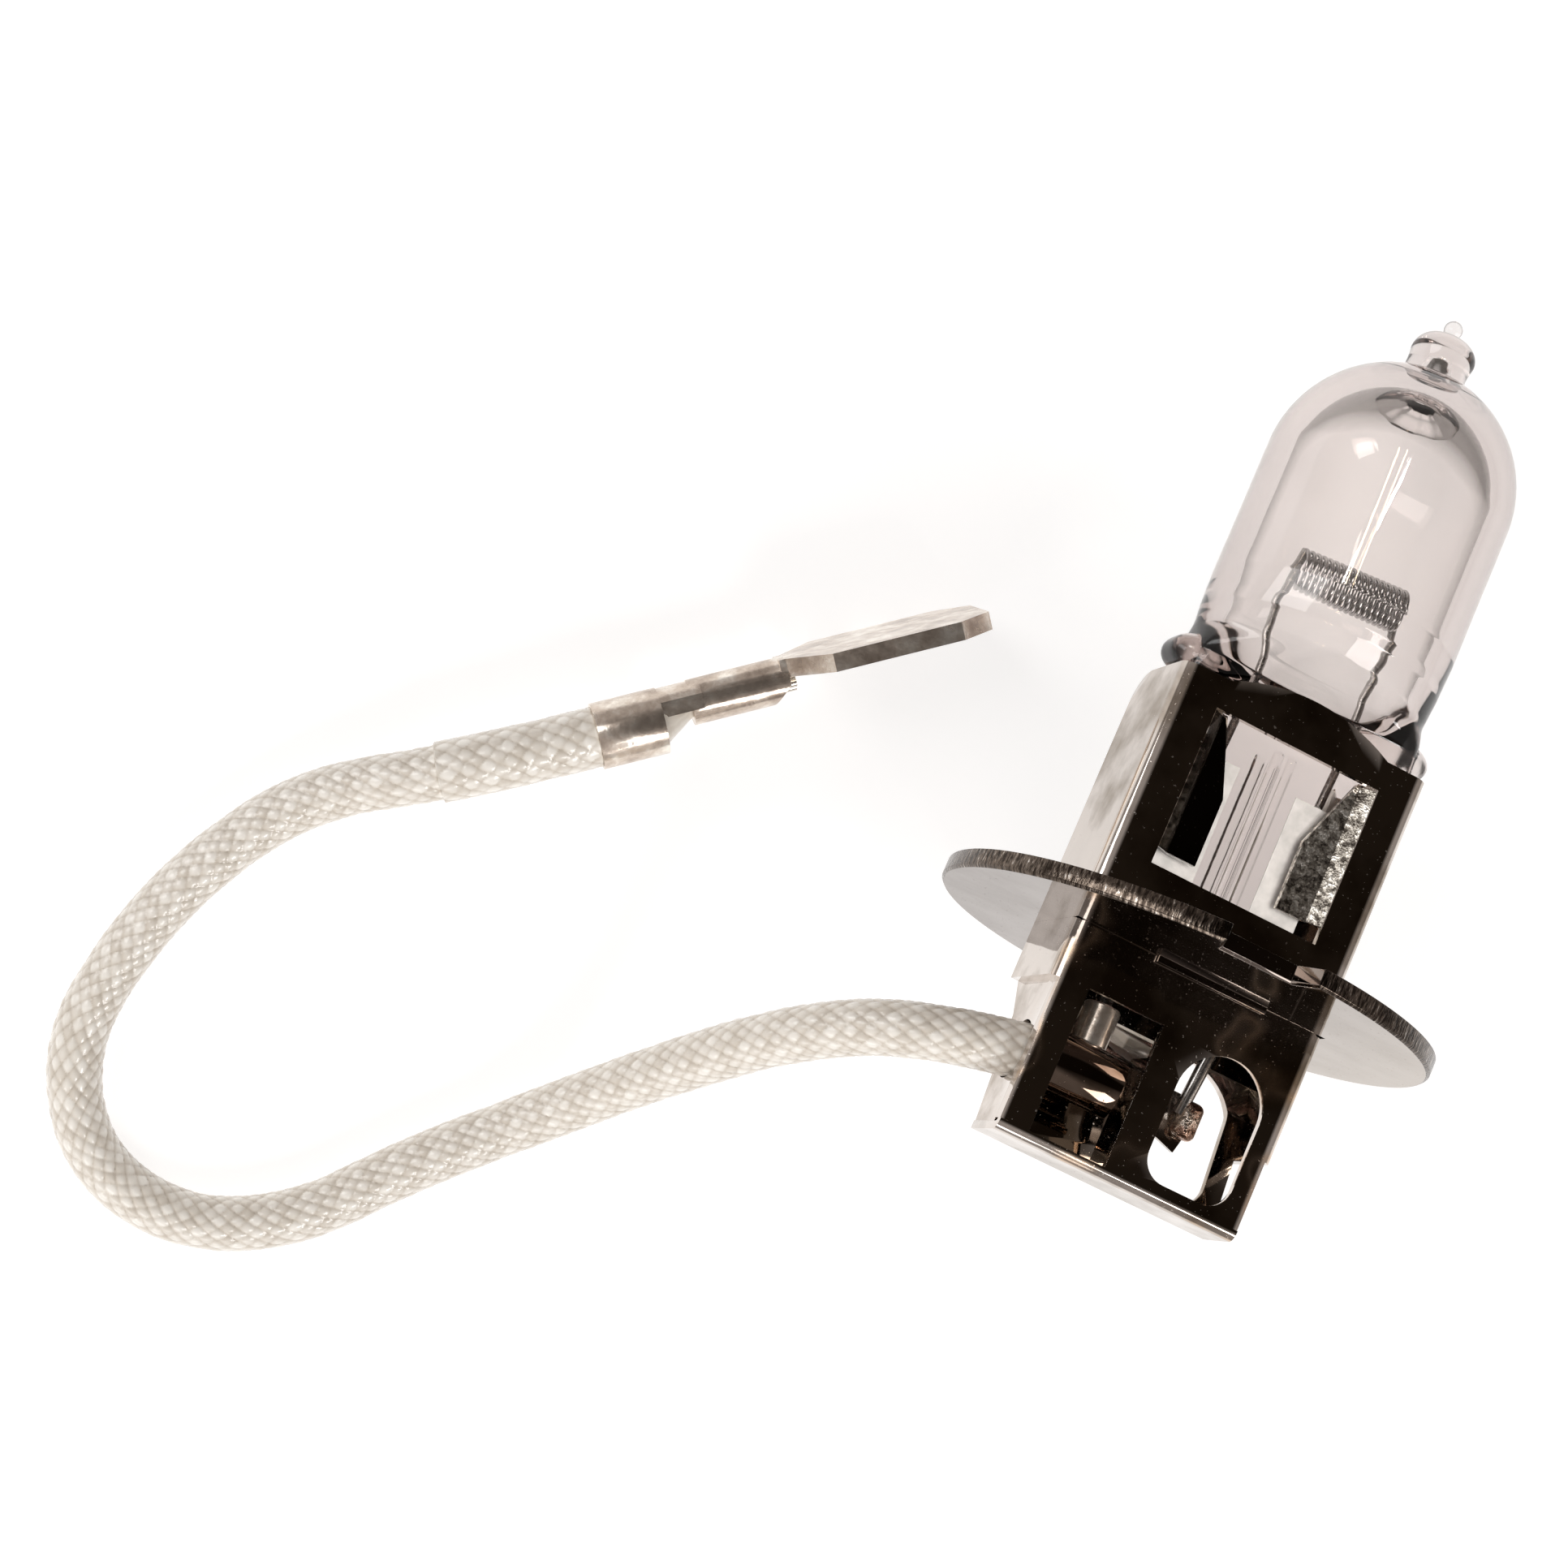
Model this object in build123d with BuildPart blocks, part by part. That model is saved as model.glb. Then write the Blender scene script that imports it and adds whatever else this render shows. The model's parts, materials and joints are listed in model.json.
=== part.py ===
"""Halogen headlight bulb (H3) with a flying lead, lying on its flange rim and its glass.

Millimetres, +Z up. The origin is on the surface that the bulb lies on, under the middle
of the bulb (cord and terminal left aside). +Y follows the bulb's axis towards the glass.

Two frames are used. The lamp frame follows the bulb: x across the metal body, y from the
body's front plate to its back, z along the bulb's axis from the flange's glass-side face
towards the tip. The terminal frame follows the blade on the end of the cord.
"""
from build123d import *
import os
from math import asin, atan, cos, pi, radians, sin, sqrt, tan


OVER = 1.0                 # how far cutting shapes reach past what they cut

# --- flange ---------------------------------------------------------------------------
FLANGE_R = 11.0            # 22 mm seating flange
FLANGE_T = 0.8
NOTCH_X = -0.5             # indexing notch in the rim, in front of the body
NOTCH_MOUTH = 4.2
NOTCH_FLOOR = 3.2
NOTCH_DEPTH = 1.9
NOTCH_LEAD = 0.3           # straight run at the notch's mouth
RIM_BREAK = 0.12           # chamfer of the rim's underside
LIP_X = (-2.2, 3.0)        # collar lip pressed down against the front plate
LIP_DROP = 0.3

# --- sheet metal body -----------------------------------------------------------------
SHEET = 0.35
HALF_W = 6.0               # outside of the side walls
LOW_HALF_W = HALF_W - SHEET          # below the ends of the side walls
FRONT_Y = -2.4             # outer face of the front plate
BACK_Y = 3.0               # rear edges of the side walls
FOLD_R = 0.7
WALL_TOP = 11.1
CROWN_TOP = 12.0           # top of the arched front plate
LEFT_WALL_END = -3.4
RIGHT_WALL_END = -6.6
PLATE_END = -9.7
BASE_Z = -10.2             # underside of the folded bottom flap
FLAP_Y = 0.9               # rear edge of the flap
CORNER_R = 1.4             # upper rear corners of the side walls
FLAP_R = 0.5               # outside bend of the bottom flap

# --- glass ----------------------------------------------------------------------------
GLASS_R = 5.52
GLASS_WALL = 1.1
DOME_Z = 22.68              # where the dome starts
NUB_R = 1.45
NUB_TOP = 30.1
NUB_ROUND = 0.6
BALL_R = 0.42              # bead of glass on the nub
BEAD_NECK_R = 0.2
TIP_Z = 31.0
PINCH_TOP = 9.4
PINCH_FOOT = 0.6
PINCH_HALF_T = 1.5
PINCH_HALF_W = 5.5
CAVITY_FLOOR = 12.2

# --- current path ---------------------------------------------------------------------
COIL_CENTRE = (0.3, 0.0, 17.9)
COIL_R = 0.7
COIL_WIRE_R = 0.095
COIL_PITCH = 0.285
COIL_LENGTH = 5.1
COIL_TILT = 5.0            # degrees, right end higher
LEAD_R = 0.19
FOIL_X = 2.5
FOIL_W = 2.2
FOIL_T = 0.06
FOIL_Z = (2.9, 8.4)
OUTER_LEAD_R = 0.3

# --- cord and terminal ----------------------------------------------------------------
CORD_R = 1.2
CORD_SPACE = 0.12          # round the cord in its hole
CORD_Y = -0.5              # cord's axis inside the body, lamp frame
CORD_Z = -6.4
END_SLEEVE_R = 1.32
TERMINAL_START = (-25.7, -12.9, 3.15)
TERMINAL_DIR = (0.763, 0.646, 0.0)
BLADE_W = 6.3
BLADE_T = 0.8
BLADE_END = 17.5           # from the terminal's start to the blade's tip

# The bulb lies on the flange's glass-side corner and on the dome, which is a hemisphere.
LIE = atan(FLANGE_R / DOME_Z) - asin(GLASS_R / sqrt(FLANGE_R**2 + DOME_Z**2))
REACH_FRONT = (TIP_Z - BALL_R) * cos(LIE) + BALL_R
REACH_BACK = FLAP_Y * sin(LIE) - BASE_Z * cos(LIE)
LAMP_ORIGIN = (0, (REACH_BACK - REACH_FRONT) / 2, FLANGE_R * cos(LIE))

LAMP = Plane(origin=LAMP_ORIGIN, x_dir=(1, 0, 0), z_dir=(0, cos(LIE), -sin(LIE)))
FACE = Plane(origin=LAMP_ORIGIN, x_dir=(1, 0, 0), z_dir=(0, sin(LIE), cos(LIE)))
FLANK = Plane(origin=LAMP_ORIGIN, x_dir=LAMP.y_dir, z_dir=(1, 0, 0))
TERMINAL = Plane(origin=TERMINAL_START, x_dir=TERMINAL_DIR, z_dir=(0, 0, 1))
CRIMP = Plane(origin=TERMINAL_START, x_dir=TERMINAL.y_dir, z_dir=TERMINAL_DIR)
BULB_AXIS = Axis(LAMP_ORIGIN, tuple(LAMP.z_dir))


def lamp(x, y, z):
    """A point of the lamp frame, in the part's frame."""
    return LAMP.from_local_coords(Vector(x, y, z))


def face_at(y):
    """The plane of front views, local (x, z), at depth y; it faces the front."""
    return FACE.offset(-y)


finished = []


def finish(name, builder):
    """Label a finished piece and write its STEP file."""
    builder.part.label = name
    finished.append(builder.part)
    export_step(builder.part, f"parts/{name}.step")


os.makedirs("parts", exist_ok=True)

# --- cord route -----------------------------------------------------------------------
CABLE_IN_X = -4.4          # the braid ends here, inside the box
SPLICE_X = -2.9            # the bared conductor turns up here
cord_in = lamp(CABLE_IN_X, CORD_Y, CORD_Z)
CORD_ROUTE = [
    (cord_in.X, cord_in.Y, cord_in.Z),
    (-9.4, -17.1, 12.4),
    (-13.4, -19.8, 9.6),
    (-16.8, -24.4, 4.6),
    (-20.4, -29.2, 1.5),
    (-24.3, -33.4, 1.2),
    (-27.7, -37.8, 1.2),
    (-32.2, -40.0, 1.2),
    (-37.0, -39.0, 1.2),
    (-39.8, -34.9, 1.2),
    (-39.5, -29.9, 1.2),
    (-38.0, -25.0, 1.2),
    (-35.3, -20.5, 1.2),
    (-30.35, -16.85, 3.15),
    TERMINAL_START,
]
entry_dir = (Vector(*CORD_ROUTE[0]) - Vector(*CORD_ROUTE[1])).normalized()


def cord_at(x):
    """Lamp-frame point on the line of the cord's first run, at x across the bulb."""
    return LAMP.to_local_coords(cord_in + entry_dir * ((x - CABLE_IN_X) / entry_dir.X))


splice = cord_at(SPLICE_X)
cord_hole = cord_at(-HALF_W + 1.5 * SHEET)

# --- flange disc ----------------------------------------------------------------------
notch_floor_y = -FLANGE_R + NOTCH_DEPTH
notch_lead_y = -FLANGE_R + NOTCH_LEAD
with BuildPart() as flange_disc:
    with BuildSketch(LAMP.offset(-FLANGE_T)):
        Circle(FLANGE_R)
        with Locations((0, (FRONT_Y + BACK_Y) / 2)):
            Rectangle(2 * HALF_W, BACK_Y - FRONT_Y, mode=Mode.SUBTRACT)
        with BuildLine():
            Polyline(
                (NOTCH_X - NOTCH_MOUTH / 2, -FLANGE_R - OVER),
                (NOTCH_X - NOTCH_MOUTH / 2, notch_lead_y),
                (NOTCH_X - NOTCH_FLOOR / 2, notch_floor_y),
                (NOTCH_X + NOTCH_FLOOR / 2, notch_floor_y),
                (NOTCH_X + NOTCH_MOUTH / 2, notch_lead_y),
                (NOTCH_X + NOTCH_MOUTH / 2, -FLANGE_R - OVER),
                close=True,
            )
        make_face(mode=Mode.SUBTRACT)
    extrude(amount=FLANGE_T)
    underside = flange_disc.faces().sort_by(BULB_AXIS)[0]
    chamfer(underside.outer_wire().edges(), RIM_BREAK)
    with BuildSketch(LAMP.offset(-FLANGE_T)):
        with Locations(((LIP_X[0] + LIP_X[1]) / 2, FRONT_Y - SHEET / 2)):
            Rectangle(LIP_X[1] - LIP_X[0], SHEET)
    extrude(amount=-LIP_DROP)
finish("flange_disc", flange_disc)

# --- shells ---------------------------------------------------------------------------
# Each shell has a window over the pinch. Its sides are tongues, bent in until their free
# edges press on the glass.
TONGUE_ROOT_X = 4.0
TONGUE_KNEE_X = 3.4
TONGUE_TIP_X = 2.0
TONGUE_INNER_SHIFT = 0.12  # the inside of each bend is this much nearer the tip
TONGUE_LEAN = 0.2          # of a sheet thickness, from knee to tip
WINDOW_Z = (2.6, 9.8)
TONGUE_FOOT_Z = 3.4
WAIST_Z = 6.5
WINDOW_TOP_X = 3.25
INSIDE_W = HALF_W - SHEET


def make_tongue(side, outer_y, pinch_y):
    """One tongue, side +1 right or -1 left: bent in from the plate, then flat on the pinch."""
    into_plate = SHEET if pinch_y > outer_y else -SHEET
    lean = into_plate * TONGUE_LEAN
    overlap_x = side * (TONGUE_ROOT_X + 0.3)
    root_x = side * TONGUE_ROOT_X
    knee_x = side * TONGUE_KNEE_X
    tip_x = side * TONGUE_TIP_X
    inner_x = side * TONGUE_INNER_SHIFT
    with BuildPart() as tongue:
        # its section across the bulb, run up the window
        with BuildSketch(LAMP.offset(TONGUE_FOOT_Z)):
            with BuildLine():
                Polyline(
                    (overlap_x, outer_y),
                    (root_x, outer_y),
                    (knee_x, pinch_y - into_plate - lean),
                    (tip_x, pinch_y - into_plate),
                    (tip_x, pinch_y),
                    (knee_x - inner_x, pinch_y - lean),
                    (root_x - inner_x, outer_y + into_plate),
                    (overlap_x, outer_y + into_plate),
                    close=True,
                )
            make_face()
        extrude(amount=WINDOW_Z[1] - TONGUE_FOOT_Z)
        # cut to its outline seen from the front
        with BuildSketch(FACE):
            with BuildLine():
                Polyline(
                    (overlap_x, TONGUE_FOOT_Z),
                    (tip_x, TONGUE_FOOT_Z),
                    (tip_x, WAIST_Z),
                    (side * WINDOW_TOP_X, WINDOW_Z[1]),
                    (overlap_x, WINDOW_Z[1]),
                    close=True,
                )
            make_face()
        extrude(amount=2 * HALF_W, both=True, mode=Mode.INTERSECT)
    return tongue.part


front_tongues = [make_tongue(side, FRONT_Y, -PINCH_HALF_T) for side in (-1, 1)]
rear_tongues = [make_tongue(side, BACK_Y, PINCH_HALF_T) for side in (-1, 1)]

CABLE_WINDOW_X = (-4.33, -0.75)
CABLE_WINDOW_TOP = -3.3
SIDE_FLAP_TOP = -4.8       # flange turned in along the cable window
SIDE_FLAP_H = 4.6
SIDE_FLAP_D = 1.75
EYE_X = 2.75               # hole with a round top, in both shells
EYE_R = 2.0
EYE_CORNER_R = 1.1
EYE_Z = (-9.35, -3.3)
CROWN_HALF_W = 3.9


with BuildSketch(Plane.XY) as eye:
    with Locations((EYE_X, EYE_Z[0])):
        Rectangle(2 * EYE_R, EYE_Z[1] - EYE_R - EYE_Z[0], align=(Align.CENTER, Align.MIN))
    fillet(eye.vertices().group_by(Axis.Y)[0], EYE_CORNER_R)
    with Locations((EYE_X, EYE_Z[1] - EYE_R)):
        Circle(EYE_R)

with BuildPart() as front_shell:
    # folded channel
    with BuildSketch(LAMP.offset(PLATE_END)) as channel:
        with Locations((0, (FRONT_Y + BACK_Y) / 2)):
            Rectangle(2 * HALF_W, BACK_Y - FRONT_Y)
        fillet(channel.vertices().group_by(Axis.Y)[0], FOLD_R)
        offset(amount=-SHEET, mode=Mode.SUBTRACT)
        with Locations((0, BACK_Y)):
            Rectangle(2 * INSIDE_W, 3 * SHEET, mode=Mode.SUBTRACT)
    extrude(amount=WALL_TOP - PLATE_END)
    # arched crown of the front plate
    with BuildSketch(face_at(FRONT_Y)):
        with BuildLine():
            ThreePointArc((-CROWN_HALF_W, WALL_TOP), (0, CROWN_TOP), (CROWN_HALF_W, WALL_TOP))
            Line((CROWN_HALF_W, WALL_TOP), (-CROWN_HALF_W, WALL_TOP))
        make_face()
    extrude(amount=-SHEET)
    # the side walls stop above the base, and round off at their upper rear corners
    for side, wall_end in ((-1, LEFT_WALL_END), (1, RIGHT_WALL_END)):
        with BuildSketch(face_at(BACK_Y + OVER)):
            with Locations((side * (LOW_HALF_W + OVER), wall_end)):
                Rectangle(2 * OVER, wall_end - BASE_Z, align=(Align.CENTER, Align.MAX))
        extrude(amount=2 * HALF_W, mode=Mode.SUBTRACT)
    with BuildSketch(FLANK.offset(-HALF_W - OVER)):
        with Locations((BACK_Y, WALL_TOP)):
            Rectangle(2 * CORNER_R, 2 * CORNER_R)
        with Locations((BACK_Y - CORNER_R, WALL_TOP - CORNER_R)):
            Circle(CORNER_R, mode=Mode.SUBTRACT)
    extrude(amount=2 * (HALF_W + OVER), mode=Mode.SUBTRACT)
    # window over the pinch, cable window and obround hole
    with BuildSketch(face_at(FRONT_Y - OVER)):
        with Locations((0, (WINDOW_Z[0] + WINDOW_Z[1]) / 2)):
            Rectangle(2 * TONGUE_ROOT_X, WINDOW_Z[1] - WINDOW_Z[0])
        with Locations(((CABLE_WINDOW_X[0] + CABLE_WINDOW_X[1]) / 2, CABLE_WINDOW_TOP)):
            Rectangle(CABLE_WINDOW_X[1] - CABLE_WINDOW_X[0], CABLE_WINDOW_TOP - PLATE_END,
                      align=(Align.CENTER, Align.MAX))
        add(eye.sketch_local)
    extrude(amount=-OVER - SHEET, mode=Mode.SUBTRACT)
    # bottom flap, folded back under the cable
    with BuildSketch(FLANK.offset(-LOW_HALF_W)):
        bend = FRONT_Y + FLAP_R
        with BuildLine():
            Line((FRONT_Y, PLATE_END), (FRONT_Y + SHEET, PLATE_END))
            RadiusArc((FRONT_Y + SHEET, PLATE_END), (bend, BASE_Z + SHEET), SHEET - FLAP_R)
            Line((bend, BASE_Z + SHEET), (FLAP_Y, BASE_Z + SHEET))
            Line((FLAP_Y, BASE_Z + SHEET), (FLAP_Y, BASE_Z))
            Line((FLAP_Y, BASE_Z), (bend, BASE_Z))
            RadiusArc((bend, BASE_Z), (FRONT_Y, PLATE_END), FLAP_R)
        make_face()
    extrude(amount=2 * LOW_HALF_W)
    # flange turned in along the cable window
    with BuildSketch(FLANK.offset(CABLE_WINDOW_X[1])):
        with Locations((FRONT_Y + SHEET, SIDE_FLAP_TOP)):
            Rectangle(SIDE_FLAP_D, SIDE_FLAP_H, align=(Align.MIN, Align.MAX))
    extrude(amount=SHEET)
    for tongue in front_tongues:
        add(tongue)
finish("front_shell", front_shell)

REAR_TOP = WALL_TOP - CORNER_R
REAR_KNEE_Z = -3.4         # the rear shell steps in towards the front plate here
LOW_REAR = ((1.75, -5.0), (0.75, BASE_Z + SHEET))    # y, z of the slope behind the cable
KNEE_SHIFT = 0.2           # the inside of each bend is this much higher
with BuildPart() as rear_shell:
    # plate: flat behind the pinch, then stepping and sloping in behind the cable
    with BuildSketch(FLANK.offset(-INSIDE_W)):
        with BuildLine():
            Polyline(
                (BACK_Y, REAR_TOP),
                (BACK_Y, REAR_KNEE_Z),
                LOW_REAR[0],
                LOW_REAR[1],
                (LOW_REAR[1][0] - SHEET, LOW_REAR[1][1]),
                (LOW_REAR[0][0] - SHEET, LOW_REAR[0][1] + KNEE_SHIFT),
                (BACK_Y - SHEET, REAR_KNEE_Z + KNEE_SHIFT),
                (BACK_Y - SHEET, REAR_TOP),
                close=True,
            )
        make_face()
    extrude(amount=2 * INSIDE_W)
    with BuildSketch(face_at(BACK_Y + OVER)):
        with Locations((0, (WINDOW_Z[0] + WINDOW_Z[1]) / 2)):
            Rectangle(2 * TONGUE_ROOT_X, WINDOW_Z[1] - WINDOW_Z[0])
        add(eye.sketch_local)
    extrude(amount=BACK_Y + OVER, mode=Mode.SUBTRACT)
    for tongue in rear_tongues:
        add(tongue)
    # side flange with the cable's hole, clear of the front shell's fold
    flange_front_y = FRONT_Y + FOLD_R
    with BuildSketch(FLANK.offset(-INSIDE_W)):
        with BuildLine():
            Polyline(
                (flange_front_y, LEFT_WALL_END + OVER),
                (BACK_Y - SHEET, LEFT_WALL_END + OVER),
                (BACK_Y - SHEET, REAR_KNEE_Z),
                (LOW_REAR[0][0] - SHEET, LOW_REAR[0][1]),
                (LOW_REAR[1][0] - SHEET, LOW_REAR[1][1]),
                (flange_front_y, LOW_REAR[1][1]),
                close=True,
            )
        make_face()
        with Locations((cord_hole.Y, cord_hole.Z)):
            Circle(CORD_R + CORD_SPACE, mode=Mode.SUBTRACT)
    extrude(amount=SHEET)
finish("rear_shell", rear_shell)

# --- filament, leads and foils --------------------------------------------------------
tilt = radians(COIL_TILT)
coil_dir = (cos(tilt), 0, sin(tilt))
coil_start = tuple(c - d * COIL_LENGTH / 2 for c, d in zip(COIL_CENTRE, coil_dir))
coil_x_dir = LAMP.from_local_coords(Vector(*coil_dir)) - LAMP.origin
with BuildPart() as filament_coil:
    with BuildLine() as coil_path:
        Helix(COIL_PITCH, COIL_LENGTH, COIL_R, center=lamp(*coil_start), direction=coil_x_dir)
    with BuildSketch(coil_path.line ^ 0):
        Circle(COIL_WIRE_R)
    sweep(path=coil_path.line)
finish("filament_coil", filament_coil)


def wire(points, radii, wire_r):
    """A round wire along straight runs and tangent arcs, points in the lamp frame."""
    with BuildPart() as solid:
        with BuildLine() as path:
            FilletPolyline(*[lamp(*p) for p in points], radius=radii)
        with BuildSketch(path.line ^ 0):
            Circle(wire_r)
        sweep(path=path.line)
    return solid


coil_first = coil_path.line @ 0
coil_last = coil_path.line @ 1
left_top = LAMP.to_local_coords(coil_first)
right_top = LAMP.to_local_coords(coil_last)
inner_lead_left = wire(
    [(left_top.X, left_top.Y, left_top.Z), (-2.6, 0, 15.9), (-2.35, 0, 12.4), (-FOIL_X, 0, FOIL_Z[1])],
    [2.0, 4.0], LEAD_R)
with inner_lead_left:
    add(filament_coil.part, mode=Mode.SUBTRACT)
finish("inner_lead_left", inner_lead_left)
inner_lead_right = wire(
    [(right_top.X, right_top.Y, right_top.Z), (2.95, 0, 16.3), (2.68, 0, 15.5), (2.75, 0, 13.2),
     (FOIL_X, 0, FOIL_Z[1])],
    [0.8, 0.8, 3.0], LEAD_R)
with inner_lead_right:
    add(filament_coil.part, mode=Mode.SUBTRACT)
finish("inner_lead_right", inner_lead_right)

for name, side in (("foil_left", -1), ("foil_right", 1)):
    with BuildPart() as foil:
        with BuildSketch(LAMP.offset(FOIL_Z[0])):
            with Locations((side * FOIL_X, 0)):
                Rectangle(FOIL_W, FOIL_T)
        extrude(amount=FOIL_Z[1] - FOIL_Z[0])
    finish(name, foil)
foils = finished[-2:]

FERRULE_Z = (-5.2, -3.4)
LEAD_END_Z = -4.3          # the live lead meets the cable's conductor inside the ferrule
outer_lead_live = wire(
    [(-FOIL_X, 0, FOIL_Z[0]), (-FOIL_X, 0, -1.6), (SPLICE_X, splice.Y, -3.0),
     (SPLICE_X, splice.Y, LEAD_END_Z)],
    [0.8, 0.8], OUTER_LEAD_R)
finish("outer_lead_live", outer_lead_live)
EARTH_END = (2.35, 0.5, -5.9)
outer_lead_earth = wire(
    [(FOIL_X, 0, FOIL_Z[0]), (FOIL_X, 0, -2.6), EARTH_END],
    [3.0], OUTER_LEAD_R)
finish("outer_lead_earth", outer_lead_earth)

# --- glass envelope -------------------------------------------------------------------
SHOULDER_TOP = 16.0
SHOULDER = ((1.95, 12.1), (3.8, 13.5))    # y, z of the pressed shoulder's outer face
NECK_Z = 10.6              # the pinch is flat up to here
LUG_X = (4.7, 6.4)
LUG_Z = (WALL_TOP, 12.8)
LUG_TAPER = 8
PINCH_ROUND = 0.45
PINCH_LAP = 0.6            # of the pinch into the capsule
RIBS = ((-0.38, 0.26), (0.27, 0.22))    # x and radius of the beads on each face
RIB_Z = (1.2, 9.6)
RIB_SINK = 0.02
LIP_RING = (2.0, 1.3)      # a thick ring of glass stands in around the exhaust bore
LIP_DEPTH = 0.3
BORE_R = (0.75, 0.3)       # closed exhaust bore, foot and top
BORE_H = 2.2
FLOOR_ROUND = 2.1          # between the gas space's floor and its wall
FLOOR_HALF = 0.7           # of the gas space, where it is narrow
THROAT = (2.7, 14.0)       # y, z of the gas space's narrowing
GAP = 0.2                  # past the surface being cut
inner_r = GLASS_R - GLASS_WALL
bore_foot = DOME_Z + sqrt(inner_r**2 - BORE_R[0] ** 2)
bore_top = bore_foot + BORE_H
lip_foot = DOME_Z + sqrt(inner_r**2 - LIP_RING[0] ** 2)
with BuildPart() as gas_space:
    # round inside the capsule, with the lip and the bore in its dome
    with BuildSketch(FLANK):
        with BuildLine():
            Line((0, CAVITY_FLOOR), (inner_r - FLOOR_ROUND, CAVITY_FLOOR))
            RadiusArc((inner_r - FLOOR_ROUND, CAVITY_FLOOR), (inner_r, CAVITY_FLOOR + FLOOR_ROUND),
                      -FLOOR_ROUND)
            Line((inner_r, CAVITY_FLOOR + FLOOR_ROUND), (inner_r, DOME_Z))
            RadiusArc((inner_r, DOME_Z), (LIP_RING[0], lip_foot), -inner_r)
            Polyline((LIP_RING[0], lip_foot), (LIP_RING[0] - 0.4 * LIP_DEPTH, lip_foot - LIP_DEPTH),
                     (LIP_RING[1], lip_foot - 0.4 * LIP_DEPTH), (BORE_R[0], bore_foot - GAP),
                     (BORE_R[1], bore_top), (0, bore_top), (0, CAVITY_FLOOR))
        make_face()
    revolve(axis=BULB_AXIS, revolution_arc=360)
    # narrow like the outside towards the pinch
    with BuildSketch(FLANK.offset(-GLASS_R - OVER)):
        with BuildLine():
            wide = inner_r + GAP
            foot_z = CAVITY_FLOOR - GAP
            Spline((wide, SHOULDER_TOP + 0.5), THROAT, (FLOOR_HALF, foot_z))
            Line((FLOOR_HALF, foot_z), (-FLOOR_HALF, foot_z))
            Spline((-FLOOR_HALF, foot_z), (-THROAT[0], THROAT[1]), (-wide, SHOULDER_TOP + 0.5))
            Polyline((-wide, SHOULDER_TOP + 0.5), (-wide, TIP_Z), (wide, TIP_Z),
                     (wide, SHOULDER_TOP + 0.5))
        make_face()
    extrude(amount=2 * (GLASS_R + OVER), mode=Mode.INTERSECT)
with BuildPart() as glass_envelope:
    # turned capsule with its dome, exhaust nub and bead
    dome_end = DOME_Z + sqrt(GLASS_R**2 - NUB_R**2)
    bead_z = TIP_Z - BALL_R
    bead_foot = bead_z - sqrt(BALL_R**2 - BEAD_NECK_R**2)
    stub_z = PINCH_TOP - 2 * GAP
    with BuildSketch(FLANK):
        with BuildLine():
            Line((0, stub_z), (GLASS_R, stub_z))
            Line((GLASS_R, stub_z), (GLASS_R, DOME_Z))
            RadiusArc((GLASS_R, DOME_Z), (NUB_R, dome_end), -GLASS_R)
            Line((NUB_R, dome_end), (NUB_R, NUB_TOP - NUB_ROUND))
            RadiusArc((NUB_R, NUB_TOP - NUB_ROUND), (NUB_R - NUB_ROUND, NUB_TOP), -NUB_ROUND)
            Line((NUB_R - NUB_ROUND, NUB_TOP), (BEAD_NECK_R, bead_foot))
            ThreePointArc((BEAD_NECK_R, bead_foot), (BALL_R, bead_z), (0, TIP_Z))
            Line((0, TIP_Z), (0, stub_z))
        make_face()
    revolve(axis=BULB_AXIS, revolution_arc=360)
    # pressed shoulders: the round capsule narrows to the flat pinch
    with BuildSketch(FLANK.offset(-GLASS_R - OVER)):
        with BuildLine():
            wide = GLASS_R + GAP
            Spline((wide, SHOULDER_TOP), SHOULDER[1], SHOULDER[0], (PINCH_HALF_T, NECK_Z))
            Polyline((PINCH_HALF_T, NECK_Z), (PINCH_HALF_T, PINCH_TOP - OVER),
                     (-PINCH_HALF_T, PINCH_TOP - OVER), (-PINCH_HALF_T, NECK_Z))
            Spline((-PINCH_HALF_T, NECK_Z), (-SHOULDER[0][0], SHOULDER[0][1]),
                   (-SHOULDER[1][0], SHOULDER[1][1]), (-wide, SHOULDER_TOP))
            Polyline((-wide, SHOULDER_TOP), (-wide, TIP_Z + OVER), (wide, TIP_Z + OVER),
                     (wide, SHOULDER_TOP))
        make_face()
    extrude(amount=2 * (GLASS_R + OVER), mode=Mode.INTERSECT)
    # flat pinch
    with BuildSketch(LAMP.offset(PINCH_FOOT)):
        RectangleRounded(2 * PINCH_HALF_W, 2 * PINCH_HALF_T, PINCH_ROUND)
    extrude(amount=PINCH_TOP + PINCH_LAP - PINCH_FOOT)
    # side lugs that sit on the metal walls
    for side in (-1, 1):
        with BuildSketch(LAMP.offset(LUG_Z[0])):
            with Locations((side * (LUG_X[0] + LUG_X[1]) / 2, 0)):
                RectangleRounded(LUG_X[1] - LUG_X[0], 2 * PINCH_HALF_T, PINCH_ROUND)
        extrude(amount=LUG_Z[1] - LUG_Z[0], taper=LUG_TAPER)
    # centre rib, two beads on each face of the pinch
    for y_side in (-1, 1):
        for rib_x, rib_r in RIBS:
            with BuildSketch(LAMP.offset(RIB_Z[0])):
                with Locations((rib_x, y_side * (PINCH_HALF_T - RIB_SINK))):
                    Circle(rib_r)
            extrude(amount=RIB_Z[1] - RIB_Z[0])
    # gas space
    add(gas_space.part, mode=Mode.SUBTRACT)
    for sealed in (inner_lead_left.part, inner_lead_right.part, outer_lead_live.part,
                   outer_lead_earth.part, *foils):
        add(sealed, mode=Mode.SUBTRACT)
finish("glass_envelope", glass_envelope)

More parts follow.
